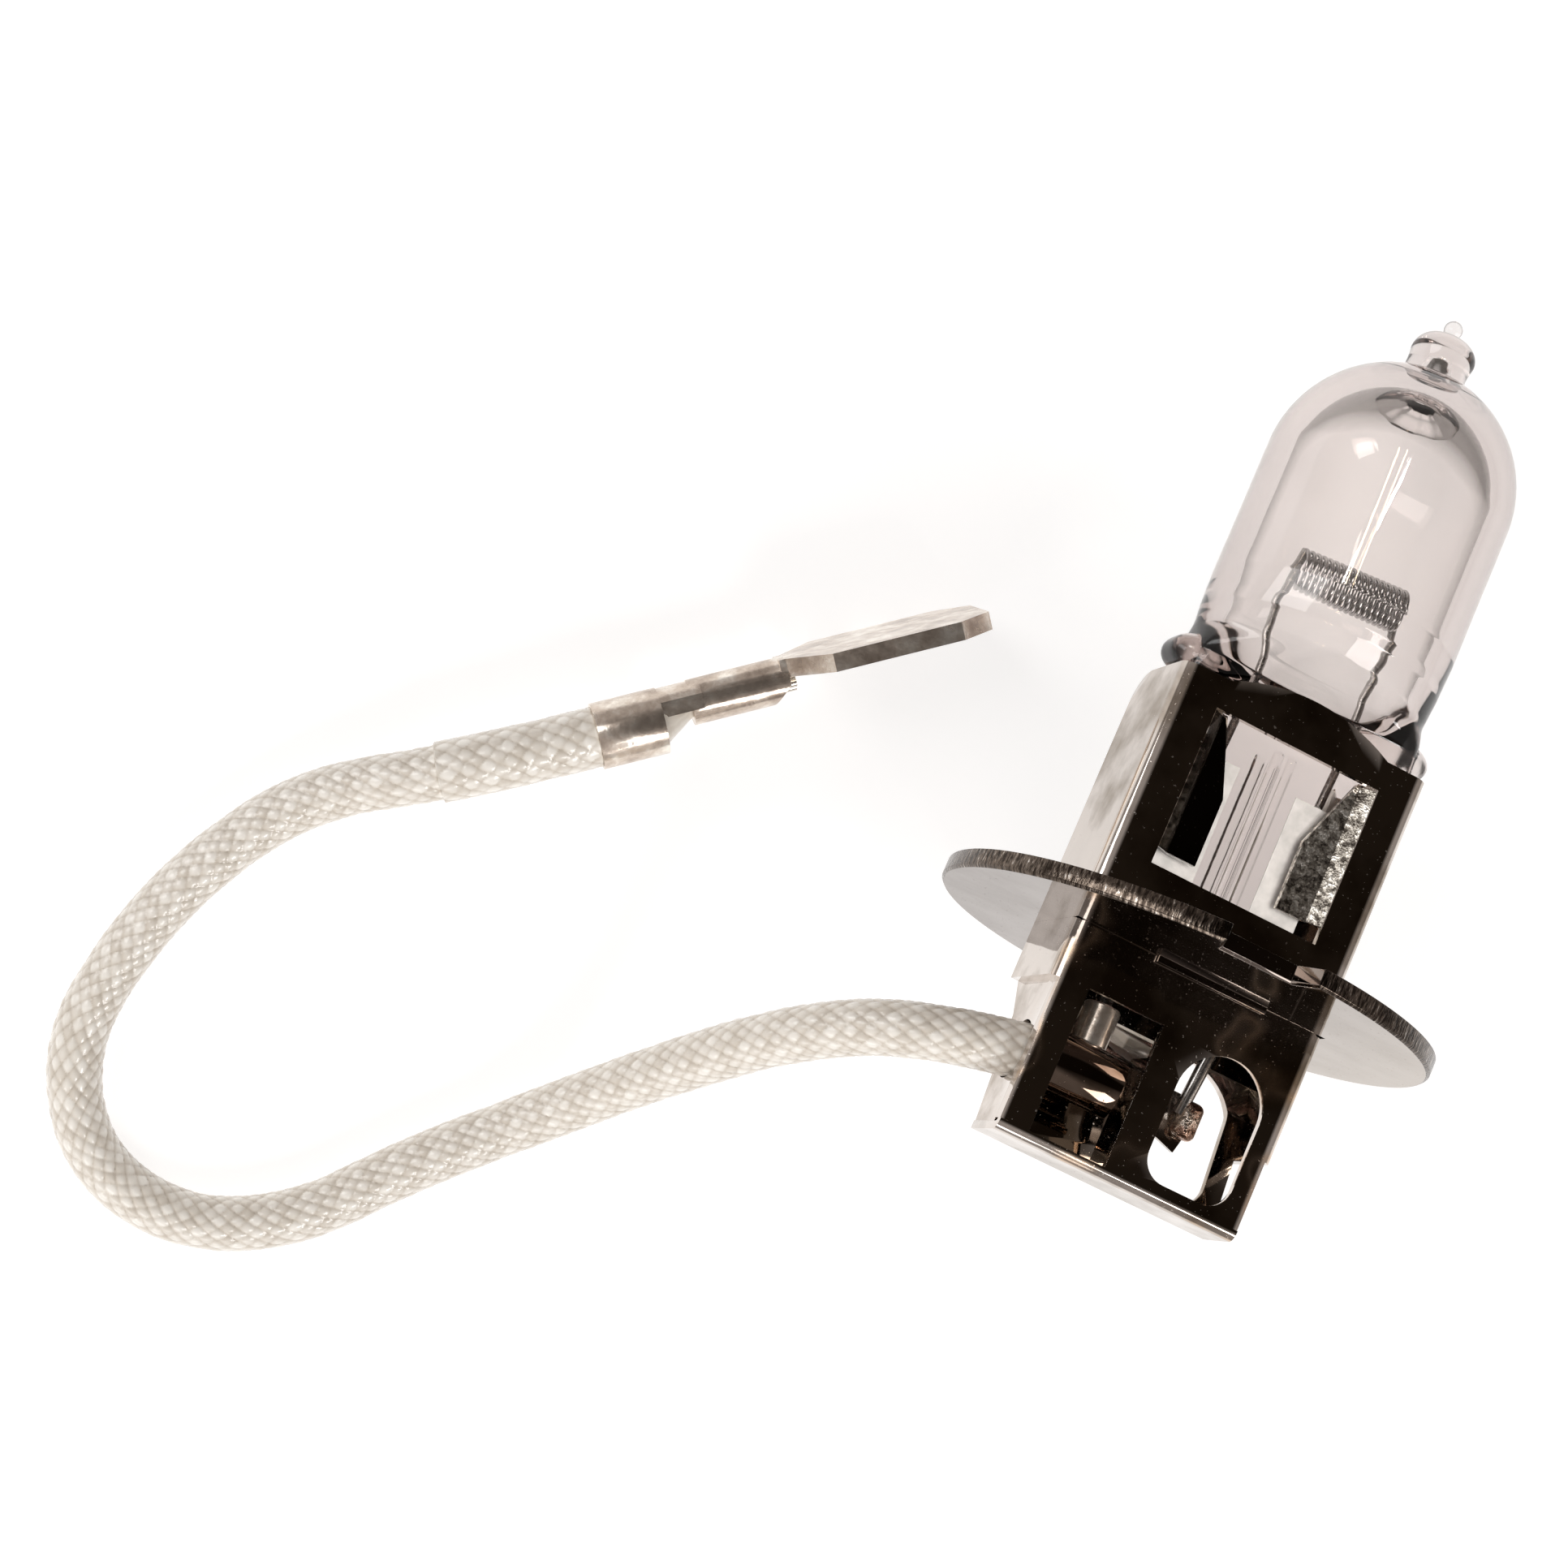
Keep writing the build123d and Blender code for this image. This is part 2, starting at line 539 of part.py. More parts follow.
# --- fittings inside the lower box ----------------------------------------------------
LEAD_SLEEVE_R = 0.6
LEAD_SLEEVE_FOOT = -1.1
with BuildPart() as lead_sleeve:
    with BuildSketch(LAMP.offset(LEAD_SLEEVE_FOOT)):
        with Locations((-FOIL_X, 0)):
            Circle(LEAD_SLEEVE_R)
            Circle(OUTER_LEAD_R, mode=Mode.SUBTRACT)
    extrude(amount=PINCH_FOOT - LEAD_SLEEVE_FOOT)
finish("lead_sleeve", lead_sleeve)

CORE_R = 0.55
cable_conductor = wire(
    [(CABLE_IN_X, CORD_Y, CORD_Z), (SPLICE_X, splice.Y, splice.Z), (SPLICE_X, splice.Y, LEAD_END_Z)],
    [0.9], CORE_R)
finish("cable_conductor", cable_conductor)

FERRULE_R = 0.8
FERRULE_BREAK = 0.08
with BuildPart() as splice_ferrule:
    with BuildSketch(LAMP.offset(FERRULE_Z[0])):
        with Locations((SPLICE_X, splice.Y)):
            Circle(FERRULE_R)
            Circle(CORE_R, mode=Mode.SUBTRACT)
    extrude(amount=FERRULE_Z[1] - FERRULE_Z[0])
    chamfer(splice_ferrule.edges().filter_by(GeomType.CIRCLE), FERRULE_BREAK)
finish("splice_ferrule", splice_ferrule)

# saddle over the cable, open at the back and below
CLAMP_R = 1.5
CLAMP_T = 0.3
CLAMP_X = (CABLE_IN_X + 0.05, CABLE_WINDOW_X[1] - 0.4)
CLAMP_MOUTH = ((-2.0, 3.0), (-1.4, -3.0))    # y, z from the cord's axis to the open side's corners
with BuildPart() as cable_clamp:
    with BuildSketch(FLANK.offset(CLAMP_X[0])):
        with Locations((CORD_Y, CORD_Z)):
            Circle(CLAMP_R)
            Circle(CLAMP_R - CLAMP_T, mode=Mode.SUBTRACT)
        with BuildLine():
            Polyline(
                (CORD_Y, CORD_Z),
                (CORD_Y + CLAMP_MOUTH[0][0], CORD_Z + CLAMP_MOUTH[0][1]),
                (CORD_Y + 2 * CLAMP_R, CORD_Z + CLAMP_MOUTH[0][1]),
                (CORD_Y + 2 * CLAMP_R, CORD_Z + CLAMP_MOUTH[1][1]),
                (CORD_Y + CLAMP_MOUTH[1][0], CORD_Z + CLAMP_MOUTH[1][1]),
                close=True,
            )
        make_face(mode=Mode.SUBTRACT)
    extrude(amount=CLAMP_X[1] - CLAMP_X[0])
finish("cable_clamp", cable_clamp)

# inner face of the rear shell's sloping plate, where the earth tab lies
slope_run = LOW_REAR[0][0] - LOW_REAR[1][0]


def rear_inside_y(z):
    """Depth of the sloping plate's inner face at height z."""
    top_z = LOW_REAR[0][1] + KNEE_SHIFT
    foot_y = LOW_REAR[1][0] - SHEET
    return foot_y + (z - LOW_REAR[1][1]) * slope_run / (top_z - LOW_REAR[1][1])


TAB_T = 0.3
TAB_Z = (-7.5, -5.0)
TAB_X = (0.2, 3.2)
with BuildPart() as earth_tab:
    with BuildSketch(FLANK.offset(TAB_X[0])):
        with BuildLine():
            Polyline(
                (rear_inside_y(TAB_Z[0]), TAB_Z[0]),
                (rear_inside_y(TAB_Z[1]), TAB_Z[1]),
                (rear_inside_y(TAB_Z[1]) - TAB_T, TAB_Z[1]),
                (rear_inside_y(TAB_Z[0]) - TAB_T, TAB_Z[0]),
                close=True,
            )
        make_face()
    extrude(amount=TAB_X[1] - TAB_X[0])
    with BuildSketch(FACE):
        with BuildLine():
            Polyline(
                (TAB_X[0], TAB_Z[1]),
                (TAB_X[1] - 0.3, TAB_Z[1]),
                (TAB_X[1] - 0.1, TAB_Z[0] + 1.0),
                (TAB_X[1] - 0.4, TAB_Z[0]),
                (1.9, TAB_Z[0] + 0.3),
                (TAB_X[0], TAB_Z[0] + 0.5),
                close=True,
            )
        make_face()
    extrude(amount=HALF_W, both=True, mode=Mode.INTERSECT)
    add(outer_lead_earth.part, mode=Mode.SUBTRACT)
finish("earth_tab", earth_tab)

WELD_AT = (2.8, 0.5)       # lamp-frame x, y
WELD_R = (0.56, 0.48)
WELD_Z = (-6.85, -5.2)
WELD_ROUND = 0.3
with BuildPart() as earth_weld:
    with BuildSketch(LAMP.offset(WELD_Z[0])):
        with Locations(WELD_AT):
            Ellipse(*WELD_R)
    extrude(amount=WELD_Z[1] - WELD_Z[0])
    fillet(earth_weld.edges().group_by(BULB_AXIS)[0], WELD_ROUND)
    fillet(earth_weld.edges().group_by(BULB_AXIS)[-1], WELD_ROUND)
    add(earth_tab.part, mode=Mode.SUBTRACT)
    add(outer_lead_earth.part, mode=Mode.SUBTRACT)
finish("earth_weld", earth_weld)

# --- cord -----------------------------------------------------------------------------
TANGENT_SHARE = 0.45       # of the shorter run at a corner, taken up by its arc


def cord_radii(points):
    """At each inner point, that share of its shorter run over the tangent of half its turn."""
    radii = []
    for before, corner, after in zip(points, points[1:], points[2:]):
        run_in = Vector(*corner) - Vector(*before)
        run_out = Vector(*after) - Vector(*corner)
        half_turn = radians(run_in.get_angle(run_out)) / 2
        radii.append(TANGENT_SHARE * min(run_in.length, run_out.length) / tan(half_turn))
    return radii


radii = cord_radii(CORD_ROUTE)
print("cord radii", [round(r, 1) for r in radii])

with BuildPart() as braided_cable:
    with BuildLine() as cord_path:
        FilletPolyline(*CORD_ROUTE, radius=radii)
    with BuildSketch(cord_path.line ^ 0):
        Circle(CORD_R)
    sweep(path=cord_path.line)
finish("braided_cable", braided_cable)
cord_volume = pi * CORD_R**2 * cord_path.wire().length
print("cord length", round(cord_path.wire().length, 2))
print("cord volume over section times length", round(braided_cable.part.volume / cord_volume, 4))

# The end sleeve follows the cord's last bend and last run.
last_bend_run = Vector(*CORD_ROUTE[-2]) - Vector(*CORD_ROUTE[-3])
sleeve_start = Vector(*CORD_ROUTE[-2]) - last_bend_run * 0.5
with BuildPart() as end_sleeve:
    with BuildLine() as sleeve_path:
        FilletPolyline(sleeve_start, CORD_ROUTE[-2], CORD_ROUTE[-1], radius=[radii[-1]])
    with BuildSketch(sleeve_path.line ^ 0):
        Circle(END_SLEEVE_R)
        Circle(CORD_R, mode=Mode.SUBTRACT)
    sweep(path=sleeve_path.line)
finish("end_sleeve", end_sleeve)

# --- terminal -------------------------------------------------------------------------
GRIP_END = 2.9             # insulation crimp runs from 0 to here
GRIP_R = 1.45
CRIMP_X = (4.25, 8.6)      # conductor crimp
CRIMP_R = 1.0
SPINE_Y = GRIP_R           # outer face of the strip that joins the crimps
CRIMP_Y = SPINE_Y - CRIMP_R
STRIP_T = 0.35
SPINE_R = 1.2              # the strip is dished to this radius
SPINE_HALF_W = 1.0
SPINE_LAP = 0.5
SPINE_INSET = 0.05         # below the crimps' outer line
STRAND_BORE_R = 0.62
MOUTH_CUT = 1.0
ROOT_LAP = 0.3             # of the blade's root into the crimp's wall
ROOT_HALF_W = 0.9
NECK_RUN = 1.7             # from the root to the full width
TIP_RUN = 1.5              # of the bevelled tip
TIP_HALF_W = 1.9
with BuildPart() as blade_terminal:
    with BuildSketch(CRIMP):
        Circle(GRIP_R)
        Circle(GRIP_R - STRIP_T, mode=Mode.SUBTRACT)
    extrude(amount=GRIP_END)
    with BuildSketch(CRIMP.offset(CRIMP_X[0])):
        with Locations((CRIMP_Y, 0)):
            Circle(CRIMP_R)
            Circle(STRAND_BORE_R, mode=Mode.SUBTRACT)
    extrude(amount=CRIMP_X[1] - CRIMP_X[0])
    # dished strip between the crimps
    with BuildSketch(CRIMP.offset(GRIP_END - SPINE_LAP)):
        with Locations((SPINE_Y - SPINE_INSET - SPINE_R, 0)):
            Circle(SPINE_R)
            Circle(SPINE_R - STRIP_T, mode=Mode.SUBTRACT)
        with Locations((SPINE_Y - SPINE_INSET, 0)):
            Rectangle(2 * SPINE_R, 2 * SPINE_HALF_W, mode=Mode.INTERSECT)
    extrude(amount=CRIMP_X[0] - GRIP_END + 2 * SPINE_LAP)
    # the far mouth of the conductor crimp is cut back on the open side
    with BuildSketch(TERMINAL):
        with BuildLine():
            mouth_x = CRIMP_X[1] + GAP
            mouth_y = CRIMP_Y - CRIMP_R - GAP
            Polyline((CRIMP_X[1] - MOUTH_CUT, mouth_y), (mouth_x, CRIMP_Y), (mouth_x, mouth_y),
                     close=True)
        make_face()
    extrude(amount=2 * CRIMP_R, both=True, mode=Mode.SUBTRACT)
    # blade, on edge
    root_x = CRIMP_X[1]
    blade_y = SPINE_Y - SPINE_INSET - BLADE_T
    blade_side = Plane(origin=TERMINAL.from_local_coords(Vector(0, blade_y, 0)),
                       x_dir=TERMINAL_DIR, z_dir=TERMINAL.y_dir)
    with BuildSketch(blade_side):
        with BuildLine():
            Polyline(
                (root_x - ROOT_LAP, -ROOT_HALF_W),
                (root_x, -ROOT_HALF_W),
                (root_x + NECK_RUN, -BLADE_W / 2),
                (BLADE_END - TIP_RUN, -BLADE_W / 2),
                (BLADE_END, -TIP_HALF_W),
                (BLADE_END, TIP_HALF_W),
                (BLADE_END - TIP_RUN, BLADE_W / 2),
                (root_x + NECK_RUN, BLADE_W / 2),
                (root_x, ROOT_HALF_W),
                (root_x - ROOT_LAP, ROOT_HALF_W),
                close=True,
            )
        make_face()
    extrude(amount=BLADE_T)
finish("blade_terminal", blade_terminal)

BRAID_SLACK = 0.02         # where the braid leaves the grip
with BuildPart() as braid_end:
    with BuildSketch(CRIMP):
        Circle(GRIP_R - STRIP_T)
    extrude(amount=GRIP_END)
    with BuildSketch(CRIMP.offset(GRIP_END)):
        Circle(GRIP_R - STRIP_T - BRAID_SLACK)
    with BuildSketch(CRIMP.offset(CRIMP_X[0])):
        with Locations((CRIMP_Y, 0)):
            Circle(STRAND_BORE_R)
    loft()
    add(blade_terminal.part, mode=Mode.SUBTRACT)
finish("braid_end", braid_end)

STRAND_R = 0.2
STRAND_LAP = 0.01          # the strands are pressed into each other
STRAND_END = 0.3           # past the crimp
with BuildPart() as conductor_strands:
    with BuildSketch(CRIMP.offset(CRIMP_X[0])):
        with Locations((CRIMP_Y, 0)):
            Circle(STRAND_R)
            with PolarLocations(2 * STRAND_R - STRAND_LAP, 6):
                Circle(STRAND_R)
    extrude(amount=CRIMP_X[1] - CRIMP_X[0] + STRAND_END)
    add(blade_terminal.part, mode=Mode.SUBTRACT)
finish("conductor_strands", conductor_strands)
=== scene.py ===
"""Looks of the headlight bulb: camera, cord, materials, floor and light.

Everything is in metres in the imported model's frame. The lamp frame (x across the metal
body, y from its front plate to its back, z along the bulb towards the tip) comes from the
record's flange mount.
"""
import json

import bpy
import numpy as np
from mathutils import Matrix, Vector


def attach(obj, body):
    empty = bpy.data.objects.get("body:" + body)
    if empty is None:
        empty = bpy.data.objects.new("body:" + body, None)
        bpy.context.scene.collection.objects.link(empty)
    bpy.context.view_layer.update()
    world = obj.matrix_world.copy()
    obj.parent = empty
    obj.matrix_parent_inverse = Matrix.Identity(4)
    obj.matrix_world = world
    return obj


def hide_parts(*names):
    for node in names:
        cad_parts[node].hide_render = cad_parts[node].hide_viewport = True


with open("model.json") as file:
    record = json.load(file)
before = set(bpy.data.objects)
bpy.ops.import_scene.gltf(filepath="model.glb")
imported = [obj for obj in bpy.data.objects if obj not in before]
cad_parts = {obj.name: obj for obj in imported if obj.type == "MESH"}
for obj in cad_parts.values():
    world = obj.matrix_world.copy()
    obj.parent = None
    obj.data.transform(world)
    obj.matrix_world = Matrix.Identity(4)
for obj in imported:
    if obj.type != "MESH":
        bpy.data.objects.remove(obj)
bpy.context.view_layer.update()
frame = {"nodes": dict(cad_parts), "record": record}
nodes = frame["nodes"]
MM = 0.001
PER_METRE = 1000                # millimetres in a metre

seat = next(m for m in frame["record"]["mounts"] if m["name"] == "flange_seat")
LAMP_Z = Vector(seat["axis"]).normalized()
LAMP_X = Vector((1, 0, 0))
LAMP_Y = LAMP_Z.cross(LAMP_X).normalized()
LAMP_O = Vector((0, seat["pos_m"][1], seat["pos_m"][2]))


def lamp(x, y, z):
    """World point, in metres, of a lamp-frame point in millimetres."""
    return LAMP_O + (LAMP_X * x + LAMP_Y * y + LAMP_Z * z) * MM


# --- camera ---------------------------------------------------------------------------
EYE = (-0.04744, -0.006034, 0.150466)
EYE_RIGHT = (0.877472, 0.451078, 0.163008)
EYE_FORWARD = (0.199378, -0.033939, -0.979335)
SENSOR_WIDTH = 36.0
LENS = 79.78
CLIP_START = 0.005
CLIP_END = 10.0
cam_data = bpy.data.cameras.new("camera")
camera = bpy.data.objects.new("camera", cam_data)
bpy.context.scene.collection.objects.link(camera)
right = Vector(EYE_RIGHT).normalized()
forward = Vector(EYE_FORWARD).normalized()
up = right.cross(forward)
right = forward.cross(up)
camera.matrix_world = Matrix((
    (right.x, up.x, -forward.x, EYE[0]),
    (right.y, up.y, -forward.y, EYE[1]),
    (right.z, up.z, -forward.z, EYE[2]),
    (0, 0, 0, 1),
))
cam_data.sensor_width = SENSOR_WIDTH
cam_data.lens = LENS
cam_data.clip_start = CLIP_START
cam_data.clip_end = CLIP_END
bpy.context.scene.camera = camera
bpy.context.scene.view_settings.view_transform = "Standard"

# --- cord -----------------------------------------------------------------------------
CORD_ROUTE = [
    (-0.0044, -0.016143, 0.012659),
    (-0.0094, -0.0171, 0.0124),
    (-0.0134, -0.0198, 0.0096),
    (-0.0168, -0.0244, 0.0046),
    (-0.0204, -0.0292, 0.0015),
    (-0.0243, -0.0334, 0.0012),
    (-0.0277, -0.0378, 0.0012),
    (-0.0322, -0.0400, 0.0012),
    (-0.0370, -0.0390, 0.0012),
    (-0.0398, -0.0349, 0.0012),
    (-0.0395, -0.0299, 0.0012),
    (-0.0380, -0.0250, 0.0012),
    (-0.0353, -0.0205, 0.0012),
    (-0.03035, -0.01685, 0.00315),
    (-0.0257, -0.0129, 0.00315),
]
CORD_R = 0.0012
BRAID_R = CORD_R + 0.00001      # over the crowns of the yarns
BRAID_RELIEF = 0.00009          # depth of the gaps between yarns
BRAID_PITCH = 0.00082
SLEEVE_R = 0.00134
SLEEVE_RELIEF = 0.00007
SLEEVE_PITCH = 0.00085
SLEEVE_LENGTH = 0.0069
CARRIERS = 12
BRAID_AROUND = 120              # mesh points round the braid
BRAID_STEP = 0.00006            # mesh steps along it
CROWN_POWER = 0.38              # lower is a flatter yarn
FAMILY_POWER = 0.5
UNEVEN_YARN = 0.09              # shift of the braid, in yarns
UNEVEN_KNOTS = 40
UNEVEN_SEED = 7
CURVE_STEPS = 40
TINY = 1e-9


def nurbs_line(name, points):
    """The points of a smooth open NURBS curve through that control polygon."""
    data = bpy.data.curves.new(name, "CURVE")
    data.dimensions = "3D"
    data.resolution_u = CURVE_STEPS
    spline = data.splines.new("NURBS")
    spline.points.add(len(points) - 1)
    for point, co in zip(spline.points, points):
        point.co = (*co, 1)
    spline.order_u = 3
    spline.use_endpoint_u = True
    obj = bpy.data.objects.new(name, data)
    bpy.context.scene.collection.objects.link(obj)
    bpy.context.view_layer.update()
    mesh = bpy.data.meshes.new_from_object(obj)
    line = np.array([v.co[:] for v in mesh.vertices])
    bpy.data.objects.remove(obj)
    bpy.data.meshes.remove(mesh)
    return line


def resample(line, step):
    """The line at even steps, and the distance of each point from its start."""
    seg = np.linalg.norm(np.diff(line, axis=0), axis=1)
    keep = np.concatenate([[True], seg > TINY])
    line = line[keep]
    dist = np.concatenate([[0], np.cumsum(np.linalg.norm(np.diff(line, axis=0), axis=1))])
    count = int(dist[-1] / step) + 1
    at = np.linspace(0, dist[-1], count)
    return np.stack([np.interp(at, dist, line[:, i]) for i in range(3)], axis=1), at


def frames(line):
    """Normal and binormal along a line, turning as little as possible."""
    tangent = np.gradient(line, axis=0)
    tangent /= np.linalg.norm(tangent, axis=1)[:, None]
    normal = np.zeros_like(line)
    first = np.cross(tangent[0], (0, 0, 1.0))
    normal[0] = first / np.linalg.norm(first)
    for i in range(1, len(line)):
        n = normal[i - 1] - tangent[i] * np.dot(normal[i - 1], tangent[i])
        normal[i] = n / np.linalg.norm(n)
    return normal, np.cross(tangent, normal)


def braid_height(a, b):
    """Height and share of the first family on top, both 0 to 1, at strand coordinates a, b.

    The braid goes one over one.
    """
    fa, fb = a % 1.0, b % 1.0
    a_on_top = (np.floor(a) + np.floor(b)) % 2 < 1
    across = np.where(a_on_top, fa, fb)
    along = np.where(a_on_top, fb, fa)
    height = np.sin(np.pi * across) ** CROWN_POWER * (0.5 + 0.5 * np.sin(np.pi * along))
    return height, np.where(a_on_top, 1.0, 0.0) * np.sin(np.pi * along) ** FAMILY_POWER


def braided_tube(name, line, radius, relief, pitch):
    """A mesh tube of braided yarns along line, and the points of its centre line.

    Its attributes are the height (crown), a shade for each yarn (strand) and how far the
    first family of yarns is on top (family).
    """
    pts, at = resample(line, BRAID_STEP)
    normal, binormal = frames(pts)
    theta = np.linspace(0, 2 * np.pi, BRAID_AROUND, endpoint=False)
    turn = CARRIERS * theta[None, :] / (2 * np.pi)
    run = at[:, None] / pitch
    rng = np.random.default_rng(UNEVEN_SEED)
    shifts = rng.normal(0, UNEVEN_YARN, UNEVEN_KNOTS)
    wobble = np.interp(at, np.linspace(0, at[-1], UNEVEN_KNOTS), shifts)[:, None]
    a = turn + run + wobble
    b = -turn + run + wobble * 0.6
    height, family = braid_height(a, b)
    slack = 1 + 0.012 * np.sin(at * 900)[:, None] + 0.01 * np.sin(at * 2300 + 1)[:, None]
    rad = (radius - relief + relief * height) * np.minimum(slack, 1.0)
    ring = (np.cos(theta)[None, :, None] * normal[:, None, :]
            + np.sin(theta)[None, :, None] * binormal[:, None, :])
    verts = (pts[:, None, :] + ring * rad[:, :, None]).reshape(-1, 3)
    n_ring = len(pts)
    i = np.arange(n_ring - 1)[:, None]
    j = np.arange(BRAID_AROUND)[None, :]
    j2 = (j + 1) % BRAID_AROUND
    here, ahead = i * BRAID_AROUND, (i + 1) * BRAID_AROUND
    quads = np.stack([here + j, here + j2, ahead + j2, ahead + j], axis=-1).reshape(-1, 4)
    mesh = bpy.data.meshes.new(name)
    faces = quads.tolist()
    faces.append(list(range(BRAID_AROUND - 1, -1, -1)))
    faces.append([(n_ring - 1) * BRAID_AROUND + k for k in range(BRAID_AROUND)])
    mesh.from_pydata(verts.tolist(), [], faces)
    mesh.polygons.foreach_set("use_smooth", [True] * len(mesh.polygons))
    yarn = (np.floor(a) * 7.3 + np.floor(b) * 3.1) % 1.0
    for label, value in (("crown", height), ("strand", yarn), ("family", family)):
        attr = mesh.attributes.new(label, "FLOAT", "POINT")
        spread = np.broadcast_to(value, rad.shape).reshape(-1)
        attr.data.foreach_set("value", spread.astype(np.float32))
    mesh.update()
    obj = bpy.data.objects.new(name, mesh)
    bpy.context.scene.collection.objects.link(obj)
    return obj, pts


route = nurbs_line("cord_route", CORD_ROUTE)
cord, cord_path = braided_tube("braided_lead", route, BRAID_R, BRAID_RELIEF, BRAID_PITCH)
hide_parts("braided_cable")
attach(cord, "root")

line, at = resample(route, BRAID_STEP)
sleeve_line = line[at >= at[-1] - SLEEVE_LENGTH]
sleeve, _ = braided_tube("braided_end_sleeve", sleeve_line, SLEEVE_R, SLEEVE_RELIEF, SLEEVE_PITCH)
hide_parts("end_sleeve")
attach(sleeve, "root")


# --- glass ----------------------------------------------------------------------------
# The capsule is drawn out smoothly from the flat pinch to the round tube, both outside and
# around the gas, and the exhaust nub is a little uneven. Lamp frame, millimetres. _R is a
# radius, _Z a height along the bulb, _D a half depth and _W a half width.
GLASS_R = 5.52
GAS_R = 4.42
DOME_Z = 22.68
NUB_R = 1.45
NUB_TOP = 30.1
NUB_ROUND = 0.85
BEAD_R = 0.42
BEAD_Z = 30.58
BEAD_NECK_R = 0.2
PINCH_D = 1.5                   # half thickness of the pinch
PINCH_W = 5.5                   # half width
PINCH_FOOT = 0.6
PINCH_TOP = 9.6
PINCH_SQUARENESS = 10           # power of the pinch's superellipse
ROUNDING_Z = (10.2, 13.6)       # where that power falls to a circle's
WIDENING_Z = (10, 14)           # where the half width grows to the tube's
TUBE_FROM = 16.5                # round tube above this
SHOULDER_Z = (10.3, 11.2, 12.1, 12.8, 13.5, 14.6, 16.2)
SHOULDER_D = (1.5, 1.6, 1.98, 2.8, 3.75, 4.9, GLASS_R)
LUG_Z = 11.95
LUG_HALF_H = 0.82
LUG_W = 5.3
LUG_REACH = 1.05
LUG_SQUARENESS = 5
RIBS = ((-0.38, 0.26), (0.27, 0.22))         # x and radius of the pinch's centre ribs
NUB_WAVE = 0.018                # unevenness, as a share of the radius
NUB_TWIST = 2.2                 # of that wave, radians per millimetre
GAS_FLOOR = 12.2
GAS_TUBE_FROM = 16.6
GAS_FLOOR_Z = (GAS_FLOOR, 12.5, 13.2, 14.2, 15.4, GAS_TUBE_FROM)
GAS_FLOOR_D = (0.02, 0.75, 1.9, 3.2, 4.1, GAS_R)
LIP_R = 2.0                     # lip inside the dome, round the closed exhaust bore
LIP_STEPS = ((0.12, 2.0), (0.26, 1.93), (0.33, 1.78), (0.28, 1.6), (0.12, 1.4), (-0.1, 1.2),
             (-0.2, 1.0))       # drop and radius, from the lip's outside to the bore
BORE_R = 0.75
BORE_FROM = 0.3
BORE_LENGTH = 2.0
BORE_TOP_R = 0.1
AROUND = 288                    # mesh points round the glass


def smooth(low, high, value):
    """0 below low, 1 above high, an S curve between."""
    t = np.clip((value - low) / (high - low), 0, 1)
    return t * t * (3 - 2 * t)


def oval(width, depth, power, angle):
    """Polar radius of a superellipse with half width along x and half depth along y."""
    across = np.abs(np.cos(angle) / width) ** power
    return (across + np.abs(np.sin(angle) / depth) ** power) ** (-1 / power)


def bead_line(x, y, radius, angle):
    """Polar radius of the far side of a circle at (x, y), 0 where the ray misses it."""
    along = x * np.cos(angle) + y * np.sin(angle)
    inside = radius**2 - (x**2 + y**2 - along**2)
    return np.where((inside > 0) & (along > 0), along + np.sqrt(np.maximum(inside, 0)), 0)


